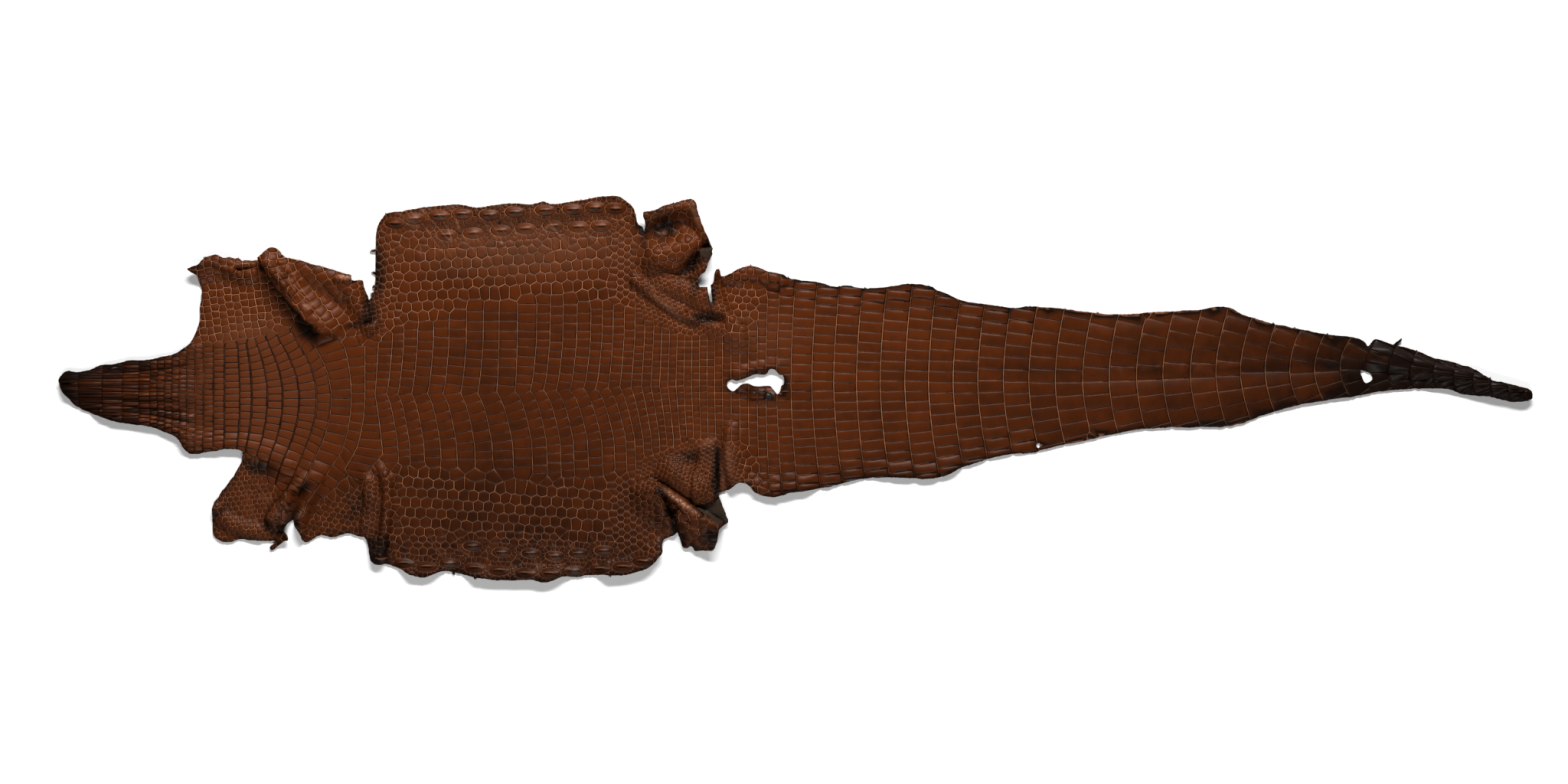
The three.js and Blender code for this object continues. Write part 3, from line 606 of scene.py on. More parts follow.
FIELDS = {
    "shoulder": ScaleField(box_corners(-672, 46, -556, 152), 8.0, 8.2, 98, 0.1, 0.6, 0.35, 0.2),
    "upper_left_leg": ScaleField(
        ((-592, 140), (-560, 100), (-526, 62), (-480, 62), (-482, 130), (-560, 160), (-592, 160)),
        9.4, 11.0, -52, 0.1, 0.25, 0.35, 0.25,
    ),
    "upper_left_pit": ScaleField(
        ((-500, 128), (-496, 96), (-478, 50), (-452, 40), (-452, 100), (-466, 128)),
        6.6, 3.9, -32, 0.15, 0.7,
    ),
    "lower_left_lobe": ScaleField(
        ((-650, -56), (-566, -58), (-566, -182), (-650, -182)), 6.4, 4.9, 62, 0.16, 0.5, 0.3,
    ),
    "lower_left_leg": ScaleField(
        ((-566, -60), (-520, -76), (-482, -100), (-480, -175), (-566, -175)),
        6.6, 6.2, 52, 0.14, 0.3, 0.3, 0.3,
    ),
    "lower_left_pit": ScaleField(box_corners(-486, -175, -452, -84), 6.4, 4.6, 30, 0.18, 0.6),
    "upper_right_leg": ScaleField(
        ((-175, 134), (-128, 132), (-100, 140), (-84, 150), (-100, 215), (-175, 215)),
        10.5, 8.4, 66, 0.1, 0.25, 0.35, 0.25,
    ),
    "upper_right_pit": ScaleField(
        ((-178, 74), (-78, 54), (-74, 100), (-98, 146), (-134, 138), (-168, 140)),
        6.2, 4.0, -24, 0.18, 0.75, 0.5,
    ),
    "lower_right_leg": ScaleField(
        ((-152, -118), (-130, -122), (-104, -136), (-70, -150), (-70, -182), (-140, -182)),
        13, 8.6, -36, 0.1, 0.2, 0.3, 0.3,
    ),
    "lower_right_pit": ScaleField(
        ((-178, -72), (-66, -48), (-56, -112), (-70, -150), (-152, -122), (-172, -112)),
        6.0, 4.0, 22, 0.18, 0.75, 0.5,
    ),
    "upper_flank_end": ScaleField(box_corners(-205, 60, -140, 200), 7.6, 7.0, -30, 0.16, 0.8),
    "lower_flank_end": ScaleField(box_corners(-205, -200, -140, -60), 7.6, 7.0, 30, 0.16, 0.8),
    "upper_flank_start": ScaleField(box_corners(-470, 40, -436, 200), 7.4, 8.0, 18, 0.16, 0.8),
    "lower_flank_start": ScaleField(box_corners(-470, -200, -436, -70), 7.4, 8.0, -18, 0.16, 0.8),
    "upper_flank_rim": ScaleField(box_corners(-450, 158, -160, 214), 10.0, 6.6, 2, 0.14, 0.8),
    "lower_flank_rim": ScaleField(box_corners(-480, -216, -130, -160), 10.0, 6.6, -2, 0.14, 0.8),
    "upper_flank": ScaleField(box_corners(-436, 48, -180, 170), 11.4, 10.8, 4, 0.12, 0.85),
    "lower_flank": ScaleField(box_corners(-436, -172, -180, -70), 11.4, 10.8, -4, 0.12, 0.85),
    "upper_tail_root": ScaleField(box_corners(-96, 50, 42, 140), 9.0, 8.0, -6, 0.14, 0.7),
    "lower_tail_root": ScaleField(box_corners(-96, -124, 42, -46), 9.0, 8.0, 6, 0.14, 0.7),
}


class Area(Enum):
    """The three kinds of surface that leather has, by their place in the material slots."""

    GRAIN = 0
    CUT = 1
    FLESH = 2


def beside_path(points: np.ndarray, path: tuple) -> tuple[np.ndarray, np.ndarray, np.ndarray]:
    """Where points lie against a path of straight stretches.

    Args:
        points: places seen from above, a row each.
        path: the path's corners.

    Returns:
        How far off each point is, how far it is on the path's left-hand side from 0 to 1, and the
        direction of the nearest stretch.
    """
    distance = np.full(len(points), np.inf)
    on_left = np.zeros(len(points))
    heading = np.zeros((len(points), 2))
    corners = np.array(path, float)
    for start, end in zip(corners[:-1], corners[1:]):
        step = end - start
        from_start = points - start
        share = np.clip(from_start @ step / (step @ step), 0, 1)
        gap = from_start - share[:, None] * step
        off = np.hypot(gap[:, 0], gap[:, 1])
        nearer = off < distance
        distance[nearer] = off[nearer]
        cross = step[0] * from_start[:, 1] - step[1] * from_start[:, 0]
        slant = cross / np.maximum(off * np.hypot(*step), TINY)
        on_left[nearer] = np.clip(0.5 + slant[nearer], 0, 1)
        heading[nearer] = step / np.hypot(*step)
    return distance, on_left, heading


def hill(distance: np.ndarray, width: np.ndarray | float) -> np.ndarray:
    """A smooth hill: 1 on its crest and 0 from `width` outwards."""
    share = np.minimum(distance / width, 1)
    return (1 - share * share) ** 2


def patched(points: np.ndarray, patches: tuple) -> np.ndarray:
    """How strongly oval patches cover points seen from above."""
    total = np.zeros(len(points))
    for x, y, length, width, turn, strength in patches:
        angle = math.radians(turn)
        off = points - (x, y)
        along = (off[:, 0] * math.cos(angle) + off[:, 1] * math.sin(angle)) * 2 / length
        across = (off[:, 1] * math.cos(angle) - off[:, 0] * math.sin(angle)) * 2 / width
        total += strength * hill(np.hypot(along, across), PATCH_BLUR)
    return total


def on_boss(points: np.ndarray) -> np.ndarray:
    """Where points lie on the nearest boss: along it and across it, as shares of its half size."""
    place = np.full((len(points), 3), FAR_OFF)
    for x, y, bosses in BOSS_PLACES:
        along = (points[:, 0] - x) * 2 / bosses.length
        across = (points[:, 1] - y) * 2 / bosses.width
        nearer = np.hypot(along, across) < np.hypot(place[:, 0], place[:, 1])
        place[nearer, 0] = along[nearer]
        place[nearer, 1] = across[nearer]
    place[:, 2] = 0
    return place


def off_bosses(x: float, y: float) -> float:
    """How far a place is from the nearest boss, as a square in sizes of it."""
    return min(
        ((x - ox) / bosses.length) ** 2 + ((y - oy) / bosses.width) ** 2
        for ox, oy, bosses in BOSS_PLACES
    )


def inside(points: np.ndarray, corners: tuple | np.ndarray) -> np.ndarray:
    """Which points lie inside a closed outline."""
    ring = np.array(corners, float)
    found = np.zeros(len(points), bool)
    for (ax, ay), (bx, by) in zip(ring, np.roll(ring, -1, axis=0)):
        if ay == by:
            continue
        crosses = (points[:, 1] < ay) != (points[:, 1] < by)
        found ^= crosses & (points[:, 0] < ax + (points[:, 1] - ay) * (bx - ax) / (by - ay))
    return found


def counterclockwise(ring: np.ndarray) -> np.ndarray:
    """A closed outline, turned so that it runs counterclockwise."""
    onward = np.roll(ring, -1, axis=0)
    doubled_area = (ring[:, 0] * onward[:, 1] - ring[:, 1] * onward[:, 0]).sum()
    return ring if doubled_area > 0 else ring[::-1]


def nearest(points: np.ndarray) -> KDTree:
    """A tree that finds the nearest of those points, seen from above."""
    tree = KDTree(len(points))
    for i, (x, y) in enumerate(points):
        tree.insert((x, y, 0), i)
    tree.balance()
    return tree


def columns(rows: tuple, x: np.ndarray | float) -> list[np.ndarray]:
    """The values of a table at places between its rows, which go by their first number."""
    grid = np.array(rows, float)
    return [np.interp(x, grid[:, 0], grid[:, k]) for k in range(1, grid.shape[1])]


@dataclass
class LaidLeather:
    """How the flat sheet lies: folds, creases and the small waves of dried leather.

    Attributes:
        thickness: from the flesh side to the floor of the grooves.
        blend: how firmly the highest of two crossing folds wins.
        wave: height of the small waves.
        bend_step: distance over which a bend is judged.
        bend_limit: how far the sheet leaves its neighbourhood's mean there.
        slope_step: distance over which a slope is judged.
        upright: how much the scales stand up from a slope.
        clearance: how far off the flesh side looks for a lower place.
    """

    thickness: float = 1.3
    blend: float = 3.0
    wave: float = 0.35
    bend_step: float = 4.0
    bend_limit: float = 0.28
    slope_step: float = 1.6
    upright: float = 0.9
    clearance: float = 2.2

    def height(self, points: np.ndarray) -> np.ndarray:
        """Height of the flesh side above the floor, seen from above in the flat pattern."""
        total = np.zeros(len(points))
        for fold in FOLDS.values():
            distance, on_left, _ = beside_path(points, fold.path)
            total += (fold.rise * hill(distance, fold.reach(on_left))) ** self.blend
        height = total ** (1 / self.blend)
        for crease in CREASES.values():
            height *= 1 - crease.press * hill(beside_path(points, crease.path)[0], crease.width)
        for lap in LAPS.values():
            height += lap.rise(points)[0]
        for rise, width, path in RIPPLES:
            height += rise * hill(beside_path(points, path)[0], width)
        return height + self.crumples(points) + self.waves(points)

    def crumples(self, points: np.ndarray) -> np.ndarray:
        """Height of the sharp little ridges where the leather is crumpled."""
        x, y = points[:, 0], points[:, 1]
        upward = np.sin(x / 2.3 + 2 * np.sin(y / 5))
        onward = np.sin(y / 2.9 - 1.5 * np.sin(x / 4.1))
        return np.abs(upward * onward) * patched(points, CRUMPLED_PATCHES)

    def waves(self, points: np.ndarray) -> np.ndarray:
        """Height of the shallow waves that the whole sheet has."""
        x, y = points[:, 0], points[:, 1]
        wave = np.sin(x / 23 + 1.3 * np.sin(y / 37)) * np.sin(y / 19 + 0.8 * np.sin(x / 31 + 2))
        wave += 0.6 * np.sin(x / 11 + y / 17) * np.sin(y / 9 - x / 29)
        return self.wave * np.maximum(wave, 0)

    def bare(self, points: np.ndarray) -> np.ndarray:
        """Where the flesh side is turned up, from 0 to 1."""
        return np.max([lap.rise(points)[1] for lap in LAPS.values() if lap.bare], axis=0)

    def bent(self, points: np.ndarray) -> np.ndarray:
        """Which points lie where the sheet bends sharply."""
        step = self.bend_step
        sides = ((step, 0), (-step, 0), (0, step), (0, -step))
        around = sum(self.height(points + off) for off in sides)
        return np.abs(around / 4 - self.height(points)) > self.bend_limit

    def surface(self, points: np.ndarray) -> np.ndarray:
        """The flesh side in space, for points of the flat pattern."""
        moved = np.column_stack([points, self.height(points)])
        for fold in FOLDS.values():
            if not fold.lean:
                continue
            distance, on_left, heading = beside_path(points, fold.path)
            push = fold.lean * hill(distance, fold.reach(on_left))
            moved[:, 0] += push * heading[:, 1]
            moved[:, 1] -= push * heading[:, 0]
        return moved

    def upward(self, plan: np.ndarray) -> np.ndarray:
        """The way that the scales stand up, for points of the flat pattern."""
        step = self.slope_step
        along = self.surface(plan + (step, 0)) - self.surface(plan - (step, 0))
        across = self.surface(plan + (0, step)) - self.surface(plan - (0, step))
        normal = np.cross(along, across)
        normal /= np.linalg.norm(normal, axis=1)[:, None]
        normal[:, 2] += self.upright
        return normal / np.linalg.norm(normal, axis=1)[:, None]

    def place(self, flat: np.ndarray) -> np.ndarray:
        """Lays points of the flat sheet, with their height in it, over the folds.

        Args:
            flat: x, y and height above the grooves' floor, a row each.

        Returns:
            The points in space.
        """
        plan = flat[:, :2]
        lifted = self.upward(plan) * (flat[:, 2] + self.thickness)[:, None]
        placed = self.surface(plan) + lifted
        below = np.nonzero(flat[:, 2] < -self.thickness / 2)[0]
        for angle in np.arange(0, 2 * math.pi, math.pi / 4):
            off = (self.clearance * math.cos(angle), self.clearance * math.sin(angle))
            placed[below, 2] = np.minimum(placed[below, 2], self.height(plan[below] + off))
        return placed


@dataclass
class CutEdge:
    """The outline of the skin, smooth between its corners and a little ragged.

    Attributes:
        lie: how the sheet lies.
        step: distance between the points of the edge.
        rough: how far the knife wandered.
        grid: spacing of the points inside, on the flesh side.
        fine_grid: the same where the sheet bends.
        row: distance between rows of those points, as a share of their spacing.
        room: how near to the edge they come, as the same share.
        shred: width of a shred at its root.
    """

    lie: LaidLeather
    step: float = 2.2
    rough: float = 0.55
    grid: float = 11.0
    fine_grid: float = 3.2
    row: float = 0.87
    room: float = 0.45
    shred: float = 2.2

    def smooth(self, corners: tuple | list, wander: float, rng: np.random.Generator) -> np.ndarray:
        """A closed curve through corners, with points a step apart.

        Args:
            corners: the points that it passes.
            wander: how far it strays to its sides.
            rng: the source of that.

        Returns:
            The points of the curve.
        """
        ring = np.array(corners, float)
        count = len(ring)
        curve = np.concatenate([
            self.span(*(ring[(i + k) % count] for k in (-1, 0, 1, 2))) for i in range(count)
        ])
        heading = np.roll(curve, -1, axis=0) - np.roll(curve, 1, axis=0)
        heading /= np.maximum(np.hypot(heading[:, 0], heading[:, 1]), TINY)[:, None]
        places = np.arange(len(curve))
        sway = np.zeros(len(curve))
        for stretch, share in ((1, 0.45), (3, 0.9)):
            knots = rng.uniform(-1, 1, len(curve) // stretch + 2)
            sway += share * np.interp(places / stretch, np.arange(len(knots)), knots)
        side = np.stack([heading[:, 1], -heading[:, 0]], axis=1)
        return curve + side * (sway * wander)[:, None]

    def span(self, p0: np.ndarray, p1: np.ndarray, p2: np.ndarray, p3: np.ndarray) -> np.ndarray:
        """The points from one corner to the next, on a centripetal curve."""
        sides = ((p0, p1), (p1, p2), (p2, p3))
        knots = np.cumsum([0] + [max(np.hypot(*(b - a)), 1e-3) ** 0.5 for a, b in sides])
        steps = max(1, round(np.hypot(*(p2 - p1)) / self.step))
        t = np.linspace(knots[1], knots[2], steps, endpoint=False)[:, None]

        def between(a: np.ndarray, b: np.ndarray, first: int, last: int) -> np.ndarray:
            """A straight blend of two moving points, from one knot to another."""
            low, high = knots[first], knots[last]
            return a * (high - t) / (high - low) + b * (t - low) / (high - low)

        a1, a2, a3 = (between(*side, k, k + 1) for k, side in enumerate(sides))
        return between(between(a1, a2, 0, 2), between(a2, a3, 1, 3), 1, 2)

    def shred_corners(self, x: float, y: float, dx: float, dy: float) -> np.ndarray:
        """The outline of one shred, from its root inside the edge to its tip."""
        reach = math.hypot(dx, dy)
        ahead = np.array([dx, dy]) / reach
        side = np.array([-ahead[1], ahead[0]]) * self.shred / 2
        root = np.array([x, y], float)
        steps = [share if share < 0 else share * reach for share, _ in SHRED_SHAPE]
        return np.array([
            root + ahead * step + side * off for step, (_, off) in zip(steps, SHRED_SHAPE)
        ])

    def inner_points(self, edge: np.ndarray) -> list[np.ndarray]:
        """The points inside the edge, closer together where the sheet bends."""
        tree = nearest(edge)
        inner = []
        for pitch, bends in ((self.fine_grid, True), (self.grid, False)):
            found = np.array([
                (x + pitch / 2 * (j % 2), y)
                for j, y in enumerate(np.arange(-HALF_WIDTH, HALF_WIDTH, pitch * self.row))
                for x in np.arange(-HALF_LENGTH, HALF_LENGTH, pitch)
            ])
            found = found[self.lie.bent(found) == bends]
            inner += [p for p in found if tree.find((p[0], p[1], 0))[2] > pitch * self.room]
        return inner

    def plan(self) -> tuple[np.ndarray, np.ndarray, np.ndarray]:
        """The skin seen from above, as triangles.

        Returns:
            The points, the triangles, and the edge's stretches with the skin on their left.
        """
        rng = np.random.default_rng(SEED)
        trunk = [(x, low) for x, _, low in TRUNK] + [(x, high) for x, high, _ in TRUNK[::-1]]
        solid = [self.smooth(corners, self.rough, rng) for corners in (trunk, *FLAPS.values())]
        holes = [self.smooth(corners, self.rough / 2, rng) for corners in HOLES.values()]
        solid += [self.shred_corners(*row) for row in SHREDS]
        rings = [counterclockwise(ring) for ring in solid + holes]
        edge = np.concatenate(rings)
        points = [Vector(p) for p in edge] + [Vector(p) for p in self.inner_points(edge)]
        faces, first = [], 0
        for ring in rings:
            faces.append(list(range(first, first + len(ring))))
            first += len(ring)
        found, _, triangles, _, _, owners = delaunay_2d_cdt(points, [], faces, 0, 1e-4)
        kept = [t for t, own in zip(triangles, owners) if own and max(own) < len(solid)]
        found = np.array([tuple(p) for p in found])
        kept = np.array(kept)
        a, b, c = (found[kept[:, k]] for k in range(3))
        ab, ac = b - a, c - a
        turned = ab[:, 0] * ac[:, 1] < ab[:, 1] * ac[:, 0]
        kept[turned] = kept[turned][:, ::-1]
        used, kept = np.unique(kept, return_inverse=True)
        found, kept = found[used], kept.reshape(-1, 3)
        sides = {(int(t[k]), int(t[(k + 1) % 3])) for t in kept for k in range(3)}
        border = np.array([side for side in sides if side[::-1] not in sides])
        border = border[np.lexsort(border.T)]
        self.rim = nearest(found[border[:, 0]])
        return found, kept, border

    def inward(self, points: np.ndarray) -> np.ndarray:
        """How far points lie from the cut edge."""
        return np.array([self.rim.find((x, y, 0))[2] for x, y in points])


def circumcentres(a: np.ndarray, b: np.ndarray, c: np.ndarray) -> np.ndarray:
    """The points that are as far from all three corners of each triangle."""
    ab, ac = b - a, c - a
    cross = 2 * (ab[:, 0] * ac[:, 1] - ab[:, 1] * ac[:, 0])
    cross[np.abs(cross) < 1e-9] = 1e-9
    ab2, ac2 = (ab**2).sum(1), (ac**2).sum(1)
    return np.stack([
        a[:, 0] + (ac[:, 1] * ab2 - ab[:, 1] * ac2) / cross,
        a[:, 1] + (ab[:, 0] * ac2 - ac[:, 0] * ab2) / cross,
    ], axis=1)


@dataclass
class ScalePattern:
    """The scales of the skin, as cells that share their grooves.

    Attributes:
        lie: how the sheet lies.
        split: longest side of a cell.
        fine_split: the same where the sheet bends.
        weld: cell corners nearer than this become one.
        widest: farthest that a cell's corner may lie from its middle.
        boss_ovals: the ovals of centres that make a boss, as shares of its size, and how many.
        boss_ring: the same for the scales round it.
        boss_gap: the least distance between those and other scales.
        off_boss: how far they keep from the next boss, as a square in sizes of it.
        off_row: the same for the scales in rows.
        evenness: how far the dividers stray on the tail and elsewhere, in widths of a scale.
        start: how far the first divider strays from the seam, and how far where there is no seam.
        edge_look: what streaked scales gain in rounding, crown and groove, and lose in paleness,
            which paints their deeper grooves with painted shade.
        room: how near two scales may come, as a share of their mean pitch.
        beside_rows: how far the other scales keep from the rows, as a share of their pitch.
        field_groove: width of the groove round those, as a share of their pitch, and its most.
        coarse: spacing of the cells round the skin.
        around: half the length and half the width that those cover.
        off_skin: how far they keep from the skin's edge and from its scales.
        centres: the middles of the scales, as they are placed.
        facts: what each scale tells its cell.
    """

    lie: LaidLeather
    split: float = 9.0
    fine_split: float = 3.4
    weld: float = 0.9
    widest: float = 40.0
    boss_ovals: tuple = ((0.35, 5), (0.8, 16))
    boss_ring: tuple = (1.2, 17)
    boss_gap: float = 2.4
    off_boss: float = 0.3
    off_row: float = 0.5
    evenness: tuple = (0.07, 0.22)
    start: tuple = (0.1, 0.5)
    edge_look: tuple = (0.3, 0.7, 1.1, 0.6)
    room: float = 0.68
    beside_rows: float = 0.3
    field_groove: tuple = (0.12, 0.9)
    coarse: float = 17.0
    around: tuple = (900, 300)
    off_skin: tuple = (6, 13)
    centres: list = field(default_factory=list)
    facts: list = field(default_factory=list)

    def line_at(self, line: float, y: np.ndarray | float) -> np.ndarray:
        """Where a row line runs, at heights across the skin."""
        middle, up, down, reach, power, beyond = columns(ROW_BOWS, line)
        off = (np.asarray(y, float) - middle) / reach
        far = np.abs(off)
        bend = np.where(far < 1, np.minimum(far, 1) ** power, 1 + beyond * (far - 1))
        return line + np.where(off > 0, up, down) * bend

    def row_at(self, points: np.ndarray) -> np.ndarray:
        """Where the row line through each point crosses the middle of the skin."""
        lines = np.array(ROW_LINES, float)
        return np.array([np.interp(x, self.line_at(lines, y), lines) for x, y in points])

    def add(self, x: float, y: float, row: int = -1, group: int = -1, **facts: float) -> None:
        """Places the centre of one scale."""
        self.centres.append((x, y))
        self.facts.append({"row": row, "group": group, **facts})

    def place_bosses(self) -> None:
        """Places the keeled ovals, each as many centres that make one scale, and those round it."""
        for group, (x, y, bosses) in enumerate(BOSS_PLACES):
            for share, count in self.boss_ovals:
                for px, py in bosses.oval(x, y, share, count):
                    self.add(px, py, group=group, rounding=0.9, crown=0.8, keel=bosses.keel,
                             tilt=bosses.tilt, groove=0.8, spacing=4.0)
        for x, y, bosses in BOSS_PLACES:
            for px, py in bosses.oval(x, y, *self.boss_ring):
                apart = min(math.hypot(px - cx, py - cy) for cx, cy in self.centres)
                if off_bosses(px, py) > self.off_boss and apart > self.boss_gap:
                    self.add(px, py, rounding=0.7, crown=0.35, groove=0.6, spacing=5.0)

    def dividers(self, middle: float, width: float, rng: np.random.Generator) -> np.ndarray:
        """Where the scales of one row divide.

        Args:
            middle: where the row crosses the middle of the skin.
            width: mean width of its scales.
            rng: the source of how they stray.

        Returns:
            The dividers' heights across the skin.
        """
        shift = self.start[SEAMLESS[0] <= middle <= SEAMLESS[1]]
        strays = self.evenness[middle <= TAIL_LINES[0]]
        start = float(columns(TAIL_SEAM, middle)[0]) + rng.uniform(-shift, shift) * width
        reach = int(ROW_REACH / width)
        steps = np.arange(-reach, reach + 1)
        return start + width * (steps + rng.uniform(-strays, strays, 2 * reach + 1))

    def place_rows(self, rng: np.random.Generator) -> None:
        """Places the scales of the neck, chest, belly and tail, row by row."""
        for row, (line, following) in enumerate(zip(ROW_LINES[:-1], ROW_LINES[1:])):
            middle = (line + following) / 2
            width, low, high = (float(v) for v in columns(ROW_BANDS, middle))
            sides = self.dividers(middle, width, rng)
            wide, narrow, rounding, crown, pale = (float(v) for v in columns(ROW_LOOKS, middle))
            upper, lower = (float(v) for v in columns(TRUNK, middle))
            for side, other in zip(sides[:-1], sides[1:]):
                y = (side + other) / 2
                x = float(self.line_at(line, y) + self.line_at(following, y)) / 2
                if y < low or y > high or off_bosses(x, y) < self.off_row:
                    continue
                off = max(min(upper - y, y - lower), 0.0)
                streaked = STREAKED[0] < middle < STREAKED[1]
                edge = float(hill(np.array(off), STREAK_WIDTH)) if streaked else 0.0
                # Streaked scales near the cut edge lose paleness: painted shade in their deeper
                # grooves.
                rounder, higher, wider, duller = (share * edge for share in self.edge_look)
                self.add(x, y, row=row, rounding=rounding + rounder, crown=crown + higher,
                         groove=wide, across=narrow + wider, spacing=other - side,
                         pale=pale * (1 - duller))

    def place_fields(self, rng: np.random.Generator) -> None:
        """Places the scales of the flanks, legs and armpits."""
        share, widest = self.field_groove
        for name, part in FIELDS.items():
            found = part.lattice(rng)
            found = found[inside(found, part.corners)]
            pitch = math.sqrt(part.along * part.across)
            found = found[self.is_free(found, pitch)]
            for x, y in found:
                self.add(x, y, rounding=part.rounding, crown=part.crown, spacing=pitch,
                         groove=min(widest, share * pitch))
            LOG.debug("%s: %d scales", name, len(found))

    def is_free(self, points: np.ndarray, pitch: float) -> np.ndarray:
        """Which points have room for a scale of that pitch beside the scales placed before."""
        if not len(points):
            return np.zeros(0, bool)
        _, low, high = columns(ROW_BANDS, self.row_at(points))
        beyond = pitch * self.beside_rows
        free = (points[:, 1] > high + beyond) | (points[:, 1] < low - beyond)
        tree = nearest(self.centres)
        for k in np.nonzero(free)[0]:
            _, near, off = tree.find((points[k, 0], points[k, 1], 0))
            free[k] = off > (self.facts[near]["spacing"] + pitch) / 2 * self.room
        return free

    def place_outside(self) -> None:
        """Places coarse cells around the skin, which the cut edge takes away again."""
        (length, width), (off_edge, off_scales) = self.around, self.off_skin
        step = self.coarse + 1
        found = np.array([
            (x + step / 2 * (j % 2), y + 0.2 * math.sin(x))
            for j, y in enumerate(np.arange(-width, width + 1, self.coarse))
            for x in np.arange(-length, length + 1, step)
        ])
        tree = nearest(self.centres)
        round_skin = [(x, high + off_edge) for x, high, _ in TRUNK]
        round_skin += [(x, low - off_edge) for x, _, low in TRUNK[::-1]]
        for x, y in found[~inside(found, round_skin)]:
            if tree.find((x, y, 0))[2] > off_scales:
                self.add(x, y, rounding=0.4, crown=0.3, groove=0.8, spacing=self.coarse)

    def cells(self) -> tuple[np.ndarray, list[list[int]], list[dict]]:
        """Turns the centres into cells.

        Returns:
            The corners, the cells by their corners in turn, and each cell's facts.
        """
        centres = np.array(self.centres)
        points = [Vector(p) for p in centres]
        _, _, triangles, owners, _, _ = delaunay_2d_cdt(points, [], [], 0, 1e-6)
        triangles = np.array([[owners[v][0] for v in t] for t in triangles])
        a, b, c = (centres[triangles[:, k]] for k in range(3))
        corners, middles = circumcentres(a, b, c), (a + b + c) / 3
        around = [[] for _ in centres]
        for t, names in enumerate(triangles):
            for v in names:
                around[v].append(t)
        rim, alias = self.rim(triangles), self.welded(corners)
        rings, facts, groups = [], [], {}
        for v, touching in enumerate(around):
            if v in rim:
                continue
            spokes = middles[touching] - centres[v]
            order = np.argsort(np.arctan2(spokes[:, 1], spokes[:, 0]))
            ring = [int(alias[touching[k]]) for k in order]
            ring = [p for k, p in enumerate(ring) if p != ring[k - 1]]
            if len(ring) < 3 or np.abs(corners[ring] - centres[v]).max() > self.widest:
                continue
            if self.facts[v]["group"] >= 0:
                groups.setdefault(self.facts[v]["group"], []).append((ring, v))
            else:
                rings.append(ring)
                facts.append(self.facts[v])
        for group, members in groups.items():
            outline = self.merged([ring for ring, _ in members])
            rings.append(outline)
            facts.append(self.facts[members[0][1]])
            x, y, bosses = BOSS_PLACES[group]
            corners[outline] = bosses.rounded(x, y, corners[outline])
        return self.drawn(corners, rings, facts)

    def rim(self, triangles: np.ndarray) -> set[int]:
        """The centres on the outermost sides of the triangles between them."""
        sides = Counter(
            tuple(sorted((int(t[k]), int(t[(k + 1) % 3])))) for t in triangles for k in range(3)
        )
        return {v for side, count in sides.items() if count == 1 for v in side}

    def welded(self, corners: np.ndarray) -> np.ndarray:
        """For each corner, the corner that it becomes one with."""
        tree = nearest(corners)
        alias = np.arange(len(corners))
        for i, (x, y) in enumerate(corners):
            if alias[i] != i:
                continue
            for _, k, _ in tree.find_range((x, y, 0), self.weld):
                if k > i and alias[k] == k:
                    alias[k] = i
        return alias

    def merged(self, rings: list[list[int]]) -> list[int]:
        """The outline of cells that make one scale."""
        ways = dict.fromkeys(
            (here, ring[(k + 1) % len(ring)]) for ring in rings for k, here in enumerate(ring)
        )
        onward = {here: there for here, there in ways if (there, here) not in ways}
        start = next(iter(onward))
        outline, here = [start], onward[start]
        while here != start and len(outline) < len(onward):
            outline.append(here)
            here = onward[here]
        return outline

    def drawn(
        self, corners: np.ndarray, rings: list[list[int]], facts: list[dict]
    ) -> tuple[np.ndarray, list[list[int]], list[dict]]:
        """Lays the cells' sides along the row lines, and splits the long ones.

        Args:
            corners: the cells' corners.
            rings: each cell's corners in turn.
            facts: each cell's facts.

        Returns:
            The points, the cells and their facts.
        """
        rows_at = {}
        for ring, fact in zip(rings, facts):
            for p in ring:
                rows_at.setdefault(p, set()).add(fact["row"])
        places = corners.copy()
        on_line = {}
        for p, rows in rows_at.items():
            if -1 in rows or len(rows) != 2 or max(rows) - min(rows) != 1:
                continue
            on_line[p] = ROW_LINES[max(rows)]
            places[p, 0] = float(self.line_at(on_line[p], places[p, 1]))
        points = [tuple(p) for p in places]
        bent = self.lie.bent(places)
        halfway = {}

        def between(here: int, there: int) -> list[int]:
            """The points that split a side, from one corner to the other."""
            low, high = sorted((here, there))
            if (low, high) not in halfway:
                start, end = np.array(points[low]), np.array(points[high])
                longest = self.fine_split if bent[low] or bent[high] else self.split
                count = int(math.hypot(*(end - start)) // longest)
                line = on_line.get(low)
                follows = line is not None and on_line.get(high) == line
                halfway[low, high] = list(range(len(points), len(points) + count))
                for k in range(1, count + 1):
                    x, y = start + (end - start) * k / (count + 1)
                    points.append((float(self.line_at(line, y)) if follows else x, y))
            made = halfway[low, high]
            return made if here < there else made[::-1]

        full = [
            [p for k, here in enumerate(ring)
             for p in (here, *between(here, ring[(k + 1) % len(ring)]))]
            for ring in rings
        ]
        used = sorted({p for ring in full for p in ring})
        name = {p: k for k, p in enumerate(used)}
        cells = [[name[p] for p in ring] for ring in full]
        return np.array([points[p] for p in used]), cells, facts

    def build(self) -> tuple[np.ndarray, list[list[int]], list[dict]]:
        """Places all the scales and returns them as cells."""
        rng = np.random.default_rng(SEED + 1)
        self.place_bosses()
        self.place_rows(rng)
        self.place_fields(rng)
        self.place_outside()
        return self.cells()


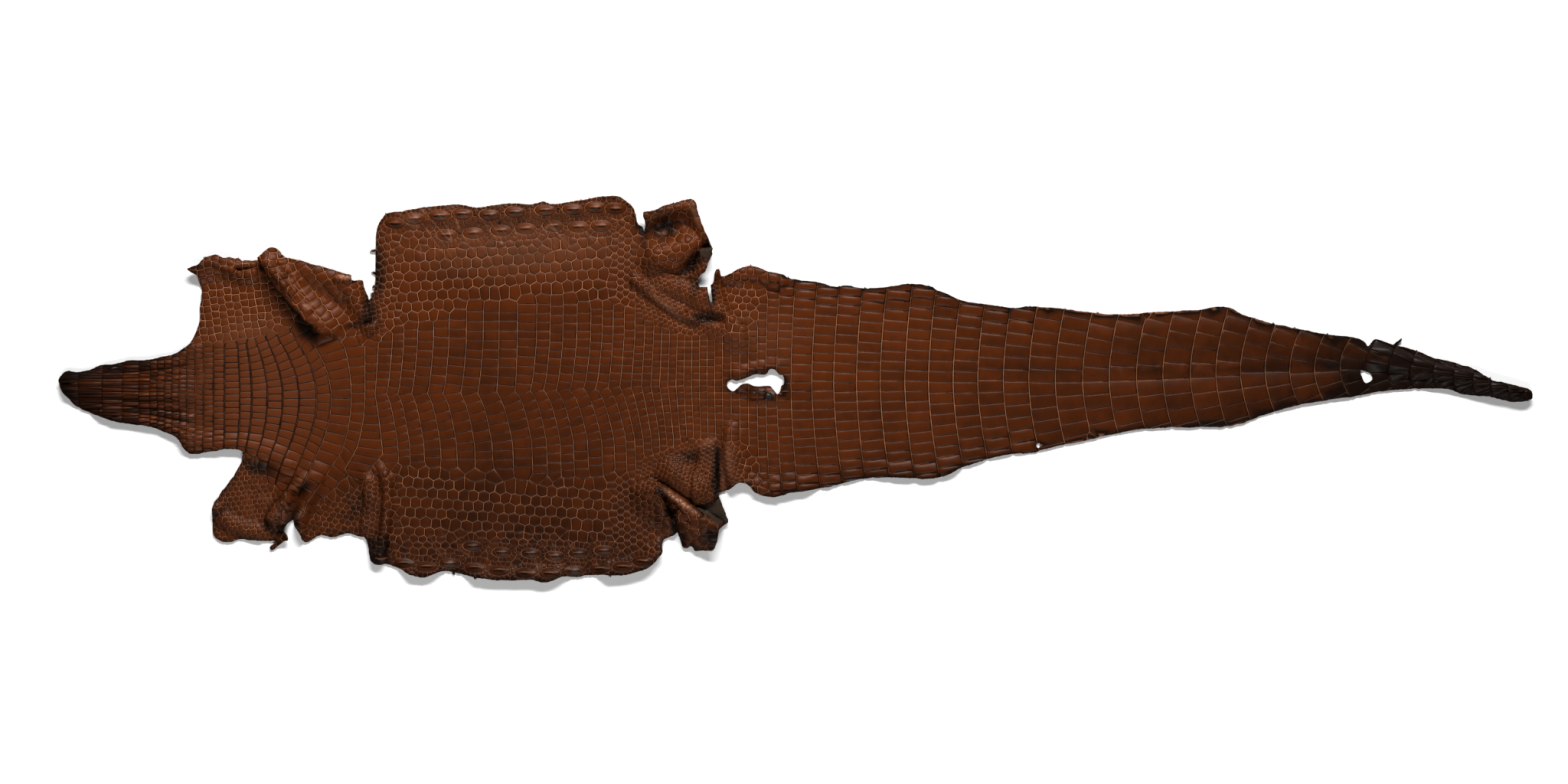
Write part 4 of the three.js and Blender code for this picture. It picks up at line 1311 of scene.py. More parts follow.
class Nodes:
    """Makes the nodes of one tree."""

    def __init__(self, tree: bpy.types.NodeTree) -> None:
        """Keeps the tree that the nodes go into."""
        self.tree = tree

    def add(
        self, kind: str, settings: dict | None = None, sockets: dict | None = None
    ) -> bpy.types.Node:
        """Makes one node.

        Args:
            kind: the node's type.
            settings: its own settings, set first.
            sockets: values or links for its inputs, by name or number.

        Returns:
            The node.
        """
        node = self.tree.nodes.new(kind)
        for name, value in (settings or {}).items():
            setattr(node, name, value)
        for name, value in (sockets or {}).items():
            self.feed(node.inputs[name], value)
        return node

    def feed(self, socket: bpy.types.NodeSocket, value: object) -> None:
        """Links a socket, or sets its value."""
        if isinstance(value, Flow):
            value = value.socket
        if isinstance(value, bpy.types.NodeSocket):
            self.tree.links.new(value, socket)
        else:
            socket.default_value = value

    def vector(self, operation: str, *values: object) -> bpy.types.NodeSocket:
        """One Vector Math node."""
        sockets = dict(enumerate(values))
        if operation == "SCALE":
            sockets["Scale"] = sockets.pop(1)
        node = self.add("ShaderNodeVectorMath", {"operation": operation}, sockets)
        return node.outputs["Value" if operation == "LENGTH" else "Vector"]

    def joined(self, x: object = 0.0, y: object = 0.0, z: object = 0.0) -> bpy.types.NodeSocket:
        """A vector made of three values."""
        return self.add("ShaderNodeCombineXYZ", {}, {"X": x, "Y": y, "Z": z}).outputs[0]

    def parts(self, vector: object) -> list["Flow"]:
        """The three values of a vector."""
        node = self.add("ShaderNodeSeparateXYZ", {}, {0: vector})
        return [Flow(self, socket) for socket in node.outputs]

    def position(self) -> bpy.types.NodeSocket:
        """Where the mesh is."""
        return self.add("GeometryNodeInputPosition").outputs[0]

    def stored(self, name: str, kind: str = "FLOAT") -> "Flow":
        """What each cell carries under that name."""
        node = self.add("GeometryNodeInputNamedAttribute", {"data_type": kind}, {"Name": name})
        return Flow(self, node.outputs["Attribute"])

    def store(
        self, mesh: bpy.types.NodeSocket, name: str, kind: str, domain: str, value: object
    ) -> bpy.types.NodeSocket:
        """The mesh with a value kept under that name."""
        node = self.add(
            "GeometryNodeStoreNamedAttribute", {"data_type": kind, "domain": domain},
            {"Geometry": mesh, "Name": name, "Value": value},
        )
        return node.outputs["Geometry"]


class Flow:
    """A value on its way through a tree, which Python's operators work on."""

    def __init__(self, nodes: Nodes, socket: object) -> None:
        """Keeps the socket that gives the value."""
        self.nodes = nodes
        self.socket = socket

    def math(self, operation: str, *values: object) -> "Flow":
        """One Math node on this value and others."""
        sockets = dict(enumerate((self, *values)))
        node = self.nodes.add("ShaderNodeMath", {"operation": operation}, sockets)
        return Flow(self.nodes, node.outputs[0])

    def __add__(self, other: object) -> "Flow":
        """This plus other."""
        return self.math("ADD", other)

    def __sub__(self, other: object) -> "Flow":
        """This minus other."""
        return self.math("SUBTRACT", other)

    def __rsub__(self, other: float) -> "Flow":
        """Other minus this."""
        return (self * -1.0) + other

    def __mul__(self, other: object) -> "Flow":
        """This times other."""
        return self.math("MULTIPLY", other)

    __radd__ = __add__
    __rmul__ = __mul__

    def __truediv__(self, other: object) -> "Flow":
        """This over other."""
        return self.math("DIVIDE", other)

    def __pow__(self, other: float) -> "Flow":
        """This to a power."""
        return self.math("POWER", other)

    def __abs__(self) -> "Flow":
        """This without its sign."""
        return self.math("ABSOLUTE")

    def above(self, limit: float) -> "Flow":
        """1 where this is above the limit, and 0 elsewhere."""
        return self.math("GREATER_THAN", limit)

    def clamped(self) -> "Flow":
        """This, held between 0 and 1."""
        node = self.nodes.add("ShaderNodeClamp", {}, {"Value": self, "Min": 0.0, "Max": 1.0})
        return Flow(self.nodes, node.outputs[0])

    def ramped(self, low: float, high: float) -> "Flow":
        """0 below `low`, 1 above `high`, and smooth between them."""
        node = self.nodes.add(
            "ShaderNodeMapRange", {"interpolation_type": "SMOOTHSTEP"},
            {"Value": self, "From Min": low, "From Max": high},
        )
        return Flow(self.nodes, node.outputs[0])


@dataclass
class Ring:
    """One ring of a scale's relief.

    Attributes:
        inset: how far it lies from the cell's sides, along and across.
        share: the most of the cell's reach that this may take.
        rise: how much higher than the ring before it stands.
        rounding: how round it is.
        chosen: which of the cells with the ring before have it, or None for all.
        keel: height and tilt of a keel, which narrows the ring, or None.
    """

    inset: tuple
    share: float
    rise: Flow
    rounding: Flow
    chosen: Flow | None = None
    keel: tuple[Flow, Flow] | None = None


@dataclass
class Cells:
    """The cells on their way through the tree.

    Attributes:
        mesh: their mesh so far.
        centre: the middle of each cell.
        lift: the chance share of its depth.
        reach: half its size along and across.
        left: what the last ring left of that reach.
        tops: which of the faces are the cells' tops.
    """

    mesh: bpy.types.NodeSocket
    centre: bpy.types.NodeSocket
    lift: Flow
    reach: Flow
    left: object
    tops: object = True


@dataclass
class ScaleRelief:
    """The raised shape of the scales, as a tree that lifts each cell ring by ring.

    Attributes:
        depth: height of a scale's shoulder above the groove round it.
        wall: how far the groove's wall runs in.
        shoulder: how far the rounded shoulder runs in from there.
        tiny_below: half the width below which a scale has no second ring.
        plain_below: the same for the third.
        flat_below: the crown below which it has none either.
        keeled_above: the keel above which it has a fourth.
        sharp_keel: height of a keel that is as narrow as can be.
        scatter: the least and the most of the depth that a scale has by chance.
    """

    depth: float = 0.7
    wall: float = 0.66
    shoulder: float = 1.2
    tiny_below: float = 2.1
    plain_below: float = 4.0
    flat_below: float = 0.31
    keeled_above: float = 0.1
    sharp_keel: float = 1.2
    scatter: tuple = (0.82, 1.12)

    def tree(self, material: bpy.types.Material) -> bpy.types.NodeTree:
        """Builds the tree.

        Args:
            material: what the scales are made of.

        Returns:
            The tree, with the relief's sizes as its inputs.
        """
        tree = bpy.data.node_groups.new("scale_relief", "GeometryNodeTree")
        sizes = {"Depth": self.depth, "Wall": self.wall, "Shoulder": self.shoulder}
        tree.interface.new_socket("Geometry", in_out="INPUT", socket_type="NodeSocketGeometry")
        for name, size in sizes.items():
            socket = tree.interface.new_socket(name, in_out="INPUT", socket_type="NodeSocketFloat")
            socket.default_value = size * MM
        seed = tree.interface.new_socket("Seed", in_out="INPUT", socket_type="NodeSocketInt")
        seed.default_value = SEED
        tree.interface.new_socket("Geometry", in_out="OUTPUT", socket_type="NodeSocketGeometry")
        nodes = Nodes(tree)
        start = nodes.add("NodeGroupInput")
        depth, wall, shoulder = (Flow(nodes, start.outputs[name]) for name in sizes)
        cells = self.cells(nodes, start)
        for ring in self.rings(nodes, cells, depth, wall, shoulder):
            self.raise_tops(nodes, cells, ring)
        relief = nodes.parts(nodes.position())[2] / depth
        mesh = nodes.store(cells.mesh, "relief", "FLOAT", "POINT", relief)
        away = nodes.vector("SUBTRACT", nodes.position(), cells.centre)
        side = nodes.vector("DIVIDE", away, cells.reach)
        mesh = nodes.store(mesh, "side", "FLOAT_VECTOR", "FACE", side)
        real = nodes.add("GeometryNodeRealizeInstances", {}, {"Geometry": mesh})
        dressed = nodes.add(
            "GeometryNodeSetMaterial", {}, {"Geometry": real.outputs[0], "Material": material}
        )
        nodes.add("NodeGroupOutput", {}, {"Geometry": dressed.outputs[0]})
        return tree

    def cells(self, nodes: Nodes, start: bpy.types.Node) -> Cells:
        """The flat cells, with what each of them keeps while it is lifted."""
        held = nodes.add(
            "GeometryNodeCaptureAttribute", {"domain": "FACE"},
            {"Geometry": start.outputs["Geometry"]},
        )
        held.capture_items.new("VECTOR", "Centre")
        held.capture_items.new("FLOAT", "Lift")
        least, most = self.scatter
        chance = nodes.add(
            "FunctionNodeRandomValue", {"data_type": "FLOAT"},
            {"Seed": start.outputs["Seed"], 2: least, 3: most},
        )
        nodes.feed(held.inputs["Centre"], nodes.position())
        nodes.feed(held.inputs["Lift"], chance.outputs[1])
        reach = nodes.stored("reach", "FLOAT_VECTOR")
        lift = Flow(nodes, held.outputs["Lift"])
        return Cells(held.outputs["Geometry"], held.outputs["Centre"], lift, reach, reach)

    def rings(
        self, nodes: Nodes, cells: Cells, depth: Flow, wall: Flow, shoulder: Flow
    ) -> tuple[Ring, ...]:
        """The rings that make a scale: its wall, its shoulder, its crown and its keel.

        Args:
            nodes: maker of the tree's nodes.
            cells: the cells that carry the rings' sizes.
            depth: height of a scale's shoulder.
            wall: how far its wall runs in.
            shoulder: how far its shoulder runs in from there.

        Returns:
            The rings, from the lowest.
        """
        facts = ("crown", "rounding", "keel", "tilt", "groove", "across")
        crown, rounding, keel, tilt, *grooves = (nodes.stored(name) for name in facts)
        walls = tuple(wall * groove for groove in grooves)
        shoulders = tuple(
            side + shoulder * (groove * 1.4).clamped() for side, groove in zip(walls, grooves)
        )
        along, across, _ = nodes.parts(cells.reach)
        smallest = along.math("MINIMUM", across)
        domed = smallest.above(self.plain_below * MM) * crown.above(self.flat_below * MM)
        full = (1.0, 1.0)
        return (
            Ring(walls, 0.34, depth * cells.lift * 0.78, rounding * 0.45),
            Ring(shoulders, 0.52, depth * cells.lift * 0.22 + crown * 0.45, rounding * 0.8,
                 smallest.above(self.tiny_below * MM)),
            Ring(full, 0.62, crown * 0.55, rounding, domed),
            Ring(full, 0.8, keel, rounding, keel.above(self.keeled_above * MM), (keel, tilt)),
        )

    def raise_tops(self, nodes: Nodes, cells: Cells, ring: Ring) -> None:
        """Lifts the top of each cell once and draws it in."""
        if ring.chosen is not None:
            cells.tops = Flow(nodes, cells.tops) * ring.chosen
        raised = nodes.add(
            "GeometryNodeExtrudeMesh", {"mode": "FACES"},
            {"Mesh": cells.mesh, "Selection": cells.tops, "Individual": True, "Offset Scale": 1.0,
             "Offset": nodes.joined(z=ring.rise)},
        )
        most = nodes.vector("SCALE", cells.reach, ring.share)
        inset = nodes.vector("MINIMUM", nodes.joined(*ring.inset), most)
        left = nodes.vector("SUBTRACT", cells.reach, inset)
        aside = 0.0
        if ring.keel is not None:
            keel, aside = ring.keel
            narrow = 1.0 - (keel * (1 / (self.sharp_keel * MM))).clamped() * 0.8
            left = nodes.vector("MULTIPLY", left, nodes.joined(1.0, narrow, 1.0))
        shrink = nodes.vector("DIVIDE", left, cells.left)
        away = nodes.vector("SUBTRACT", nodes.position(), cells.centre)
        drawn = nodes.vector("MULTIPLY", away, shrink)
        spread = nodes.vector("MULTIPLY", nodes.vector("DIVIDE", drawn, left), LEVEL)
        length = Flow(nodes, nodes.vector("LENGTH", spread))
        pull = 1.0 - ring.rounding * (1.0 - (length.math("MAXIMUM", 1.0) ** -1.0))
        drawn = nodes.vector("ADD", cells.centre, nodes.vector("SCALE", drawn, pull))
        height = nodes.joined(y=aside, z=nodes.parts(nodes.position())[2])
        place = nodes.vector("ADD", nodes.vector("MULTIPLY", drawn, LEVEL), height)
        moved = nodes.add(
            "GeometryNodeSetPosition", {},
            {"Geometry": raised.outputs["Mesh"], "Selection": raised.outputs["Top"],
             "Position": place},
        )
        cells.mesh, cells.tops, cells.left = moved.outputs[0], raised.outputs["Top"], left


class Shading(Nodes):
    """Makes the nodes of one material, which starts with none."""

    def __init__(self, name: str) -> None:
        """Makes the material, and the node for where the surface is."""
        self.material = bpy.data.materials.new(name)
        self.material.use_nodes = True
        self.material.node_tree.nodes.clear()
        super().__init__(self.material.node_tree)
        self.place = self.add("ShaderNodeTexCoord").outputs["Object"]

    def fact(self, name: str) -> Flow:
        """A number that the mesh carries."""
        node = self.add("ShaderNodeAttribute", {"attribute_name": name})
        return Flow(self, node.outputs["Fac"])

    def pair(self, name: str) -> list[Flow]:
        """The first two numbers of a vector that the mesh carries."""
        node = self.add("ShaderNodeAttribute", {"attribute_name": name})
        return self.parts(node.outputs["Vector"])[:2]

    def noise(
        self, scale: float, detail: float, place: bpy.types.NodeSocket | None = None
    ) -> Flow:
        """An even noise of that scale, from 0 to 1."""
        node = self.add(
            "ShaderNodeTexNoise", {},
            {"Vector": self.place if place is None else place, "Scale": float(scale),
             "Detail": float(detail)},
        )
        return Flow(self, node.outputs["Fac"])

    def mix(self, share: Flow, first: object, second: object) -> bpy.types.NodeSocket:
        """A blend of two colours."""
        node = self.add("ShaderNodeMix", {"data_type": "RGBA"}, {"Factor": share})
        for socket, value in ((node.inputs[6], first), (node.inputs[7], second)):
            self.feed(socket, (*value, 1.0) if isinstance(value, tuple) else value)
        return node.outputs[2]

    def bump(self, strength: float, distance: float, height: Flow) -> bpy.types.NodeSocket:
        """The surface's direction where a fine grain stands on it."""
        sockets = {"Strength": strength, "Distance": distance * MM, "Height": height}
        return self.add("ShaderNodeBump", {}, sockets).outputs[0]

    def finished(self, sockets: dict) -> bpy.types.Material:
        """The material, with a shader that has those values."""
        shader = self.add("ShaderNodeBsdfPrincipled", {}, sockets)
        self.add("ShaderNodeOutputMaterial", {}, {"Surface": shader.outputs[0]})
        return self.material


@dataclass(frozen=True)
class GrainFinish:
    """The grain side: glazed brown scales with pale grooves.

    Attributes:
        scale: colour of the scales.
        deep: colour of the darker scales, of aged leather and of painted shade on the scales.
        groove: colour of the groove's floor.
        shade: colour of the painted shade beside the groove and in it.
        wear_and_highlight: colour where the leather has been rubbed, and of painted highlights.
        flesh: colour of the flesh side where it is turned up.
        floor: the heights between which the groove's floor gives way, as shares of its depth.
        top: the same for the scale's top.
        turned: the turn between which the grain gives way to the flesh side.
        roughness: of the leather.
        glaze: how much of a glaze lies on the scales.
        grain: depth of the fine grain.
    """

    scale: tuple = (0.110, 0.0280, 0.0044)
    deep: tuple = (0.0125, 0.0045, 0.0016)
    groove: tuple = (0.47, 0.215, 0.112)
    shade: tuple = (0.012, 0.0038, 0.0015)
    wear_and_highlight: tuple = (0.36, 0.19, 0.12)
    flesh: tuple = (0.050, 0.034, 0.023)
    floor: tuple = (0.12, 0.42)
    top: tuple = (0.5, 0.95)
    turned: tuple = (0.3, 0.7)
    roughness: float = 0.46
    glaze: float = 0.11
    grain: float = 0.5

    def material(self) -> bpy.types.Material:
        """Makes the material."""
        nodes = Shading("glazed_grain")
        relief, age, wear_and_highlight, bare = (nodes.fact(name) for name in ("relief", "age", "wear_and_highlight", "bare"))
        middle = nodes.noise(90, 4)
        rim = relief.ramped(*self.top)
        # tuck: the lengthwise tucks, which are painted darker as painted shade in their creases.
        line, tuck = self.wrinkles(nodes)
        # crest: a painted highlight along each boss's keel; slit: painted shadow under the keel.
        crest, slit = self.keels(nodes)
        body = self.body(nodes, middle, age + tuck * 0.5 + slit * 1.4)
        # The paler colour takes rubbed spots, painted highlights, the pale wrinkles and the painted
        # highlight on each keel.
        body = nodes.mix((wear_and_highlight + line * 0.45 + crest * 0.35).clamped(), body, self.wear_and_highlight)
        dull = age * 0.6 + (middle - 0.5) * 0.9 + (1.0 - nodes.fact("pale")) * 0.9
        # The groove's floor runs to painted shade where it is darker, and on a row's far side as
        # painted shadow of the overlap.
        pale = nodes.mix((dull + self.walls(nodes)).clamped(), self.groove, self.shade)
        # Painted shade on each scale's shoulder where it falls into the groove.
        edged = nodes.mix(rim, self.shade, body)
        colour = nodes.mix(relief.ramped(*self.floor), pale, edged)
        colour = nodes.mix(bare.ramped(*self.turned), colour, self.flesh)
        grain = nodes.noise(900, 3) * 0.5 + self.pores(nodes) * 0.5 + middle * 0.6
        rough = (1.0 - rim) * 0.3 + (middle - 0.5) * 0.16 - wear_and_highlight * 0.1 + self.roughness
        gloss = rim * self.glaze * (1.0 - bare) + wear_and_highlight * 0.1
        return nodes.finished({
            "Base Color": colour, "Roughness": rough.clamped(),
            "Normal": nodes.bump(0.3, self.grain, grain + line * 0.8 - tuck * 1.6),
            "Specular IOR Level": 0.1, "Coat Weight": gloss.clamped(), "Coat Roughness": 0.3,
        })

    def body(self, nodes: Shading, middle: Flow, age: Flow) -> bpy.types.NodeSocket:
        """The colour of the scales' tops, by how much darker they are from ageing and from painted
        shade.
        """
        mottled = nodes.fact("wrinkled") * 1.1 + 0.5
        share = age + (middle - 0.5) * mottled + (nodes.fact("tone") - 0.5) * 0.2
        share = share + (nodes.noise(14, 3) - 0.5) * 0.6
        return nodes.mix(share.clamped(), self.scale, self.deep)

    def walls(self, nodes: Shading) -> Flow:
        """How much darker the groove is painted: painted shadow on a row's far side, where the next
        scale overlaps it, and a little darker between the scales of a row.
        """
        along, across = nodes.pair("side")
        divider = 1.0 - (abs(along) - abs(across)).ramped(-0.25, 0.05)
        return (along.ramped(0.3, 0.8) * 0.45 + divider * 0.12) * nodes.fact("lined")

    def keels(self, nodes: Shading) -> tuple[Flow, Flow]:
        """A painted highlight along the crest of each boss, and painted shadow in the dark slit
        under it.
        """
        along, across = nodes.pair("on_boss")
        found = nodes.fact("keel").ramped(0.2 * MM, 0.6 * MM)
        tapered = along * along * 2.2
        crest = 1.0 - (tapered + abs(across - 0.14) * 5.0).ramped(0.25, 1.0)
        slit = 1.0 - (tapered + abs(across + 0.14) * 5.5).ramped(0.35, 1.0)
        return crest * found, slit * found

    def pores(self, nodes: Shading) -> Flow:
        """The small pores of the grain."""
        sockets = {"Vector": nodes.place, "Scale": 1400.0}
        node = nodes.add("ShaderNodeTexVoronoi", {"feature": "F1"}, sockets)
        return Flow(nodes, node.outputs["Distance"])

    def wrinkles(self, nodes: Shading) -> tuple[Flow, Flow]:
        """The pale slanting wrinkles, and the tucks that run along the skin, which are painted dark
        as painted shade in their creases.
        """
        slanting = self.strands(nodes, -55, (0.12, 0.0125, 1.0)) * nodes.fact("wrinkled")
        lengthwise = self.strands(nodes, 2, (0.075, 0.0042, 1.0)) * nodes.fact("ridged")
        return slanting.clamped(), lengthwise.clamped()

    def strands(self, nodes: Shading, turn: float, size: tuple) -> Flow:
        """Long thin lines that wander along one direction.

        Args:
            nodes: maker of the material's nodes.
            turn: the lines' direction, in degrees.
            size: how far a line runs before it bends, and how far apart the lines are.

        Returns:
            1 on a line and 0 beside it.
        """
        turned = nodes.add(
            "ShaderNodeMapping", {"vector_type": "TEXTURE"},
            {"Vector": nodes.place, "Rotation": (0.0, 0.0, math.radians(turn)), "Scale": size},
        ).outputs["Vector"]
        off = abs(nodes.noise(1, 0.4, turned) - 0.5)
        return 1.0 - off.ramped(0.002, 0.012)


@dataclass(frozen=True)
class PlainFinish:
    """A matt finish with a mottled colour, for the flesh side and the cut edge.

    Attributes:
        name: the material's name.
        light: its lighter colour.
        dark: its darker colour.
        roughness: how matt it is.
        nap: depth of the nap.
    """

    name: str
    light: tuple
    dark: tuple
    roughness: float
    nap: float

    def material(self) -> bpy.types.Material:
        """Makes the material."""
        nodes = Shading(self.name)
        coarse, fine = nodes.noise(60, 5), nodes.noise(1500, 3)
        share = ((coarse - 0.5) * 1.6 + (fine - 0.5) * 0.8 + 0.5).clamped()
        return nodes.finished({
            "Base Color": nodes.mix(share, self.light, self.dark), "Roughness": self.roughness,
            "Normal": nodes.bump(0.5, self.nap, fine + coarse),
        })


FLESH_SIDE = PlainFinish("flesh_side", (0.13, 0.092, 0.068), (0.07, 0.048, 0.035), 0.9, 0.5)
CUT_SIDE = PlainFinish("cut_edge", (0.045, 0.024, 0.015), (0.016, 0.009, 0.006), 0.75, 0.3)


def linked(name: str, data: bpy.types.ID) -> bpy.types.Object:
    """A new object with that data, in the scene."""
    thing = bpy.data.objects.new(name, data)
    bpy.context.scene.collection.objects.link(thing)
    return thing


def solid_mesh(name: str, points: np.ndarray, faces: list) -> bpy.types.Object:
    """An object with a mesh of those points and faces, in millimetres."""
    mesh = bpy.data.meshes.new(name)
    mesh.from_pydata((np.asarray(points) * MM).tolist(), [], faces)
    mesh.update()
    return linked(name, mesh)


def baked(thing: bpy.types.Object) -> bpy.types.Mesh:
    """The mesh that an object's modifiers make."""
    graph = bpy.context.evaluated_depsgraph_get()
    return bpy.data.meshes.new_from_object(thing.evaluated_get(graph), depsgraph=graph)


def keep(mesh: bpy.types.Mesh, domain: str, values: dict) -> None:
    """Stores numbers or vectors on a mesh, by their name: one for each point or face."""
    for name, numbers in values.items():
        kind, slot = ("FLOAT_VECTOR", "vector") if np.ndim(numbers) == 2 else ("FLOAT", "value")
        mesh.attributes.new(name, kind, domain).data.foreach_set(slot, np.ravel(numbers))


# What a cell tells the relief when its scale says nothing else, and the unit of each number.
SCALE_LOOKS = {
    "crown": (0.3, MM), "rounding": (0.3, 1.0), "keel": (0.0, MM), "tilt": (0.0, MM),
    "groove": (1.0, 1.0), "pale": (0.92, 1.0),
}


@dataclass
class Skin:
    """The whole skin as one piece of leather.

    Attributes:
        lie: how it lies on the floor.
        relief: the raised shape of its scales.
        cap: how far the trimming tool reaches above the leather.
        top_above: height in the flat sheet above which it is the grain side.
        pressed: how much flatter the scales are where the flesh side is turned up.
        rim_shade: how much darker the leather is painted along its cut edge, as painted shade where
            the edge curls.
        rim_width: how far that darkness reaches in.
        least_span: the least size that a cell counts as having.
        middle: the middle of the skin's box in its flat pattern.
    """

    lie: LaidLeather = field(default_factory=LaidLeather)
    relief: ScaleRelief = field(default_factory=ScaleRelief)
    cap: float = 9.0
    top_above: float = -0.5
    pressed: float = 0.85
    rim_shade: float = 0.9
    rim_width: float = 2.0
    least_span: float = 1.5
    middle: tuple = (-0.5, -0.25)

    def __post_init__(self) -> None:
        """Makes the cut edge and the scales, which both follow the folds."""
        self.edge = CutEdge(self.lie)
        self.pattern = ScalePattern(self.lie)

    def scaled_sheet(self, grain: bpy.types.Material) -> bpy.types.Object:
        """The scales with their relief, as one block with a flat underside."""
        points, cells, facts = self.pattern.build()
        LOG.info("scales: %d", len(cells))
        block = solid_mesh("scale_block", np.column_stack([points, np.zeros(len(points))]), cells)
        rng = np.random.default_rng(SEED + 2)
        looks = {
            name: [fact.get(name, usual) * unit for fact in facts]
            for name, (usual, unit) in SCALE_LOOKS.items()
        }
        spans = np.array([points[ring].max(0) - points[ring].min(0) for ring in cells])
        reach = np.maximum(spans, self.least_span) / 2 * MM
        keep(block.data, "FACE", {
            **looks,
            "across": [fact.get("across", fact.get("groove", 1.0)) for fact in facts],
            "lined": [float(fact["row"] >= 0) for fact in facts],
            "tone": rng.uniform(0, 1, len(cells)),
            "reach": np.column_stack([reach, np.ones(len(cells))]),
        })
        block.modifiers.new("relief", "NODES").node_group = self.relief.tree(grain)
        raised = baked(block)
        block.modifiers.clear()
        block.data = raised
        self.close_below(raised)
        return block

    def close_below(self, mesh: bpy.types.Mesh) -> None:
        """Closes the underside of the raised scales."""
        form = bmesh.new()
        form.from_mesh(mesh)
        rim = [e for e in form.edges if e.is_boundary]
        made = bmesh.ops.extrude_edge_only(form, edges=rim)["geom"]
        for v in made:
            if isinstance(v, bmesh.types.BMVert):
                v.co.z = -self.cap * MM
        floor = [e for e in form.edges if e.is_boundary]
        bmesh.ops.contextual_create(form, geom=floor)
        bmesh.ops.recalc_face_normals(form, faces=form.faces)
        form.to_mesh(mesh)
        form.free()

    def trim_tool(self) -> bpy.types.Object:
        """A block with the skin's cut outline, whose underside is the flesh side."""
        points, triangles, border = self.edge.plan()
        count = len(points)
        low = np.column_stack([points, np.full(count, -self.lie.thickness)])
        high = np.column_stack([points, np.full(count, self.cap)])
        faces = [tuple(t[::-1]) for t in triangles.tolist()]
        faces += [tuple(v + count for v in t) for t in triangles.tolist()]
        faces += [(a, b, b + count, a + count) for a, b in border.tolist()]
        tool = solid_mesh("trim_block", np.concatenate([low, high]), faces)
        kinds = [Area.FLESH.value] * len(triangles) + [Area.GRAIN.value] * len(triangles)
        kinds += [Area.CUT.value] * len(border)
        tool.data.polygons.foreach_set("material_index", kinds)
        return tool

    def build(self) -> bpy.types.Object:
        """Makes the skin as one closed mesh, laid over its folds."""
        grain = GrainFinish().material()
        finishes = [grain, CUT_SIDE.material(), FLESH_SIDE.material()]
        block = self.scaled_sheet(grain)
        tool = self.trim_tool()
        block.data.materials.clear()
        for finish in finishes:
            block.data.materials.append(finish)
            tool.data.materials.append(finish)
        trim = block.modifiers.new("trim", "BOOLEAN")
        trim.operation = "INTERSECT"
        trim.solver = "MANIFOLD"
        trim.object = tool
        mesh = baked(block)
        for thing in (block, tool):
            bpy.data.objects.remove(thing)
        mesh.calc_loop_triangles()
        LOG.info("trimmed: %d faces, %d triangles", len(mesh.polygons), len(mesh.loop_triangles))
        self.lay(mesh)
        return linked("laid_skin", mesh)

    def lay(self, mesh: bpy.types.Mesh) -> None:
        """Lays the flat sheet over its folds, and keeps where it has darkened with ageing and where
        painted shade and painted highlights fall.
        """
        flat = np.zeros(len(mesh.vertices) * 3)
        mesh.vertices.foreach_get("co", flat)
        flat = flat.reshape(-1, 3) / MM
        plan = flat[:, :2]
        bare = self.lie.bare(plan) * (flat[:, 2] > self.top_above)
        flat[:, 2] *= 1 - self.pressed * bare
        placed = self.lie.place(flat) * MM
        low, high = (np.array(corner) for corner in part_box(NODE))
        placed[:, :2] += (low + high)[:2] / 2 - np.array(self.middle) * MM
        mesh.vertices.foreach_set("co", placed.ravel())
        # Darker with ageing along the skin, plus painted shade towards its lower side, along the
        # cut edge and in the shaded patches.
        age = columns(AGE_ALONG, flat[:, 0])[0] + columns(SHADE_ACROSS, flat[:, 1])[0]
        # Painted shade where the cut edge curls.
        age += self.rim_shade * np.exp(-self.edge.inward(plan) / self.rim_width)
        keep(mesh, "POINT", {
            "age": age + patched(plan, SHADE_AND_DARK_PATCHES),
            "wear_and_highlight": patched(plan, WEAR_AND_HIGHLIGHT_PATCHES),
            "wrinkled": patched(plan, WRINKLED_PATCHES),
            "ridged": patched(plan, RIDGED_PATCHES),
            "bare": bare,
            "on_boss": on_boss(flat),
        })
        mesh.polygons.foreach_set("use_smooth", [True] * len(mesh.polygons))
        self.crisp_edges(mesh)
        mesh.update()

    def crisp_edges(self, mesh: bpy.types.Mesh) -> None:
        """Keeps the cut edge crisp where two kinds of surface meet."""
        kinds, sizes = np.zeros((2, len(mesh.polygons)), np.int32)
        mesh.polygons.foreach_get("material_index", kinds)
        mesh.polygons.foreach_get("loop_total", sizes)
        owners = np.repeat(kinds, sizes)
        sides = np.zeros(len(mesh.loops), np.int32)
        mesh.loops.foreach_get("edge_index", sides)
        least = np.full(len(mesh.edges), len(Area))
        most = np.full(len(mesh.edges), -1)
        np.minimum.at(least, sides, owners)
        np.maximum.at(most, sides, owners)
        crisp = (least != most).tolist()
        mesh.attributes.new("sharp_edge", "BOOLEAN", "EDGE").data.foreach_set("value", crisp)


@dataclass(frozen=True)
class Lamp:
    """A soft rectangular lamp that faces the skin.

    Attributes:
        name: its name.
        place: where it hangs, in metres.
        size: its width and its depth, in metres.
        power: its power, in watts.
    """

    name: str
    place: tuple
    size: tuple
    power: float

    def build(self) -> None:
        """Hangs the lamp."""
        light = bpy.data.lights.new(self.name, "AREA")
        light.shape = "RECTANGLE"
        light.size, light.size_y = self.size
        light.energy = self.power
        lamp = linked(self.name, light)
        lamp.location = self.place
        lamp.rotation_euler = Vector(self.place).to_track_quat("Z", "Y").to_euler()


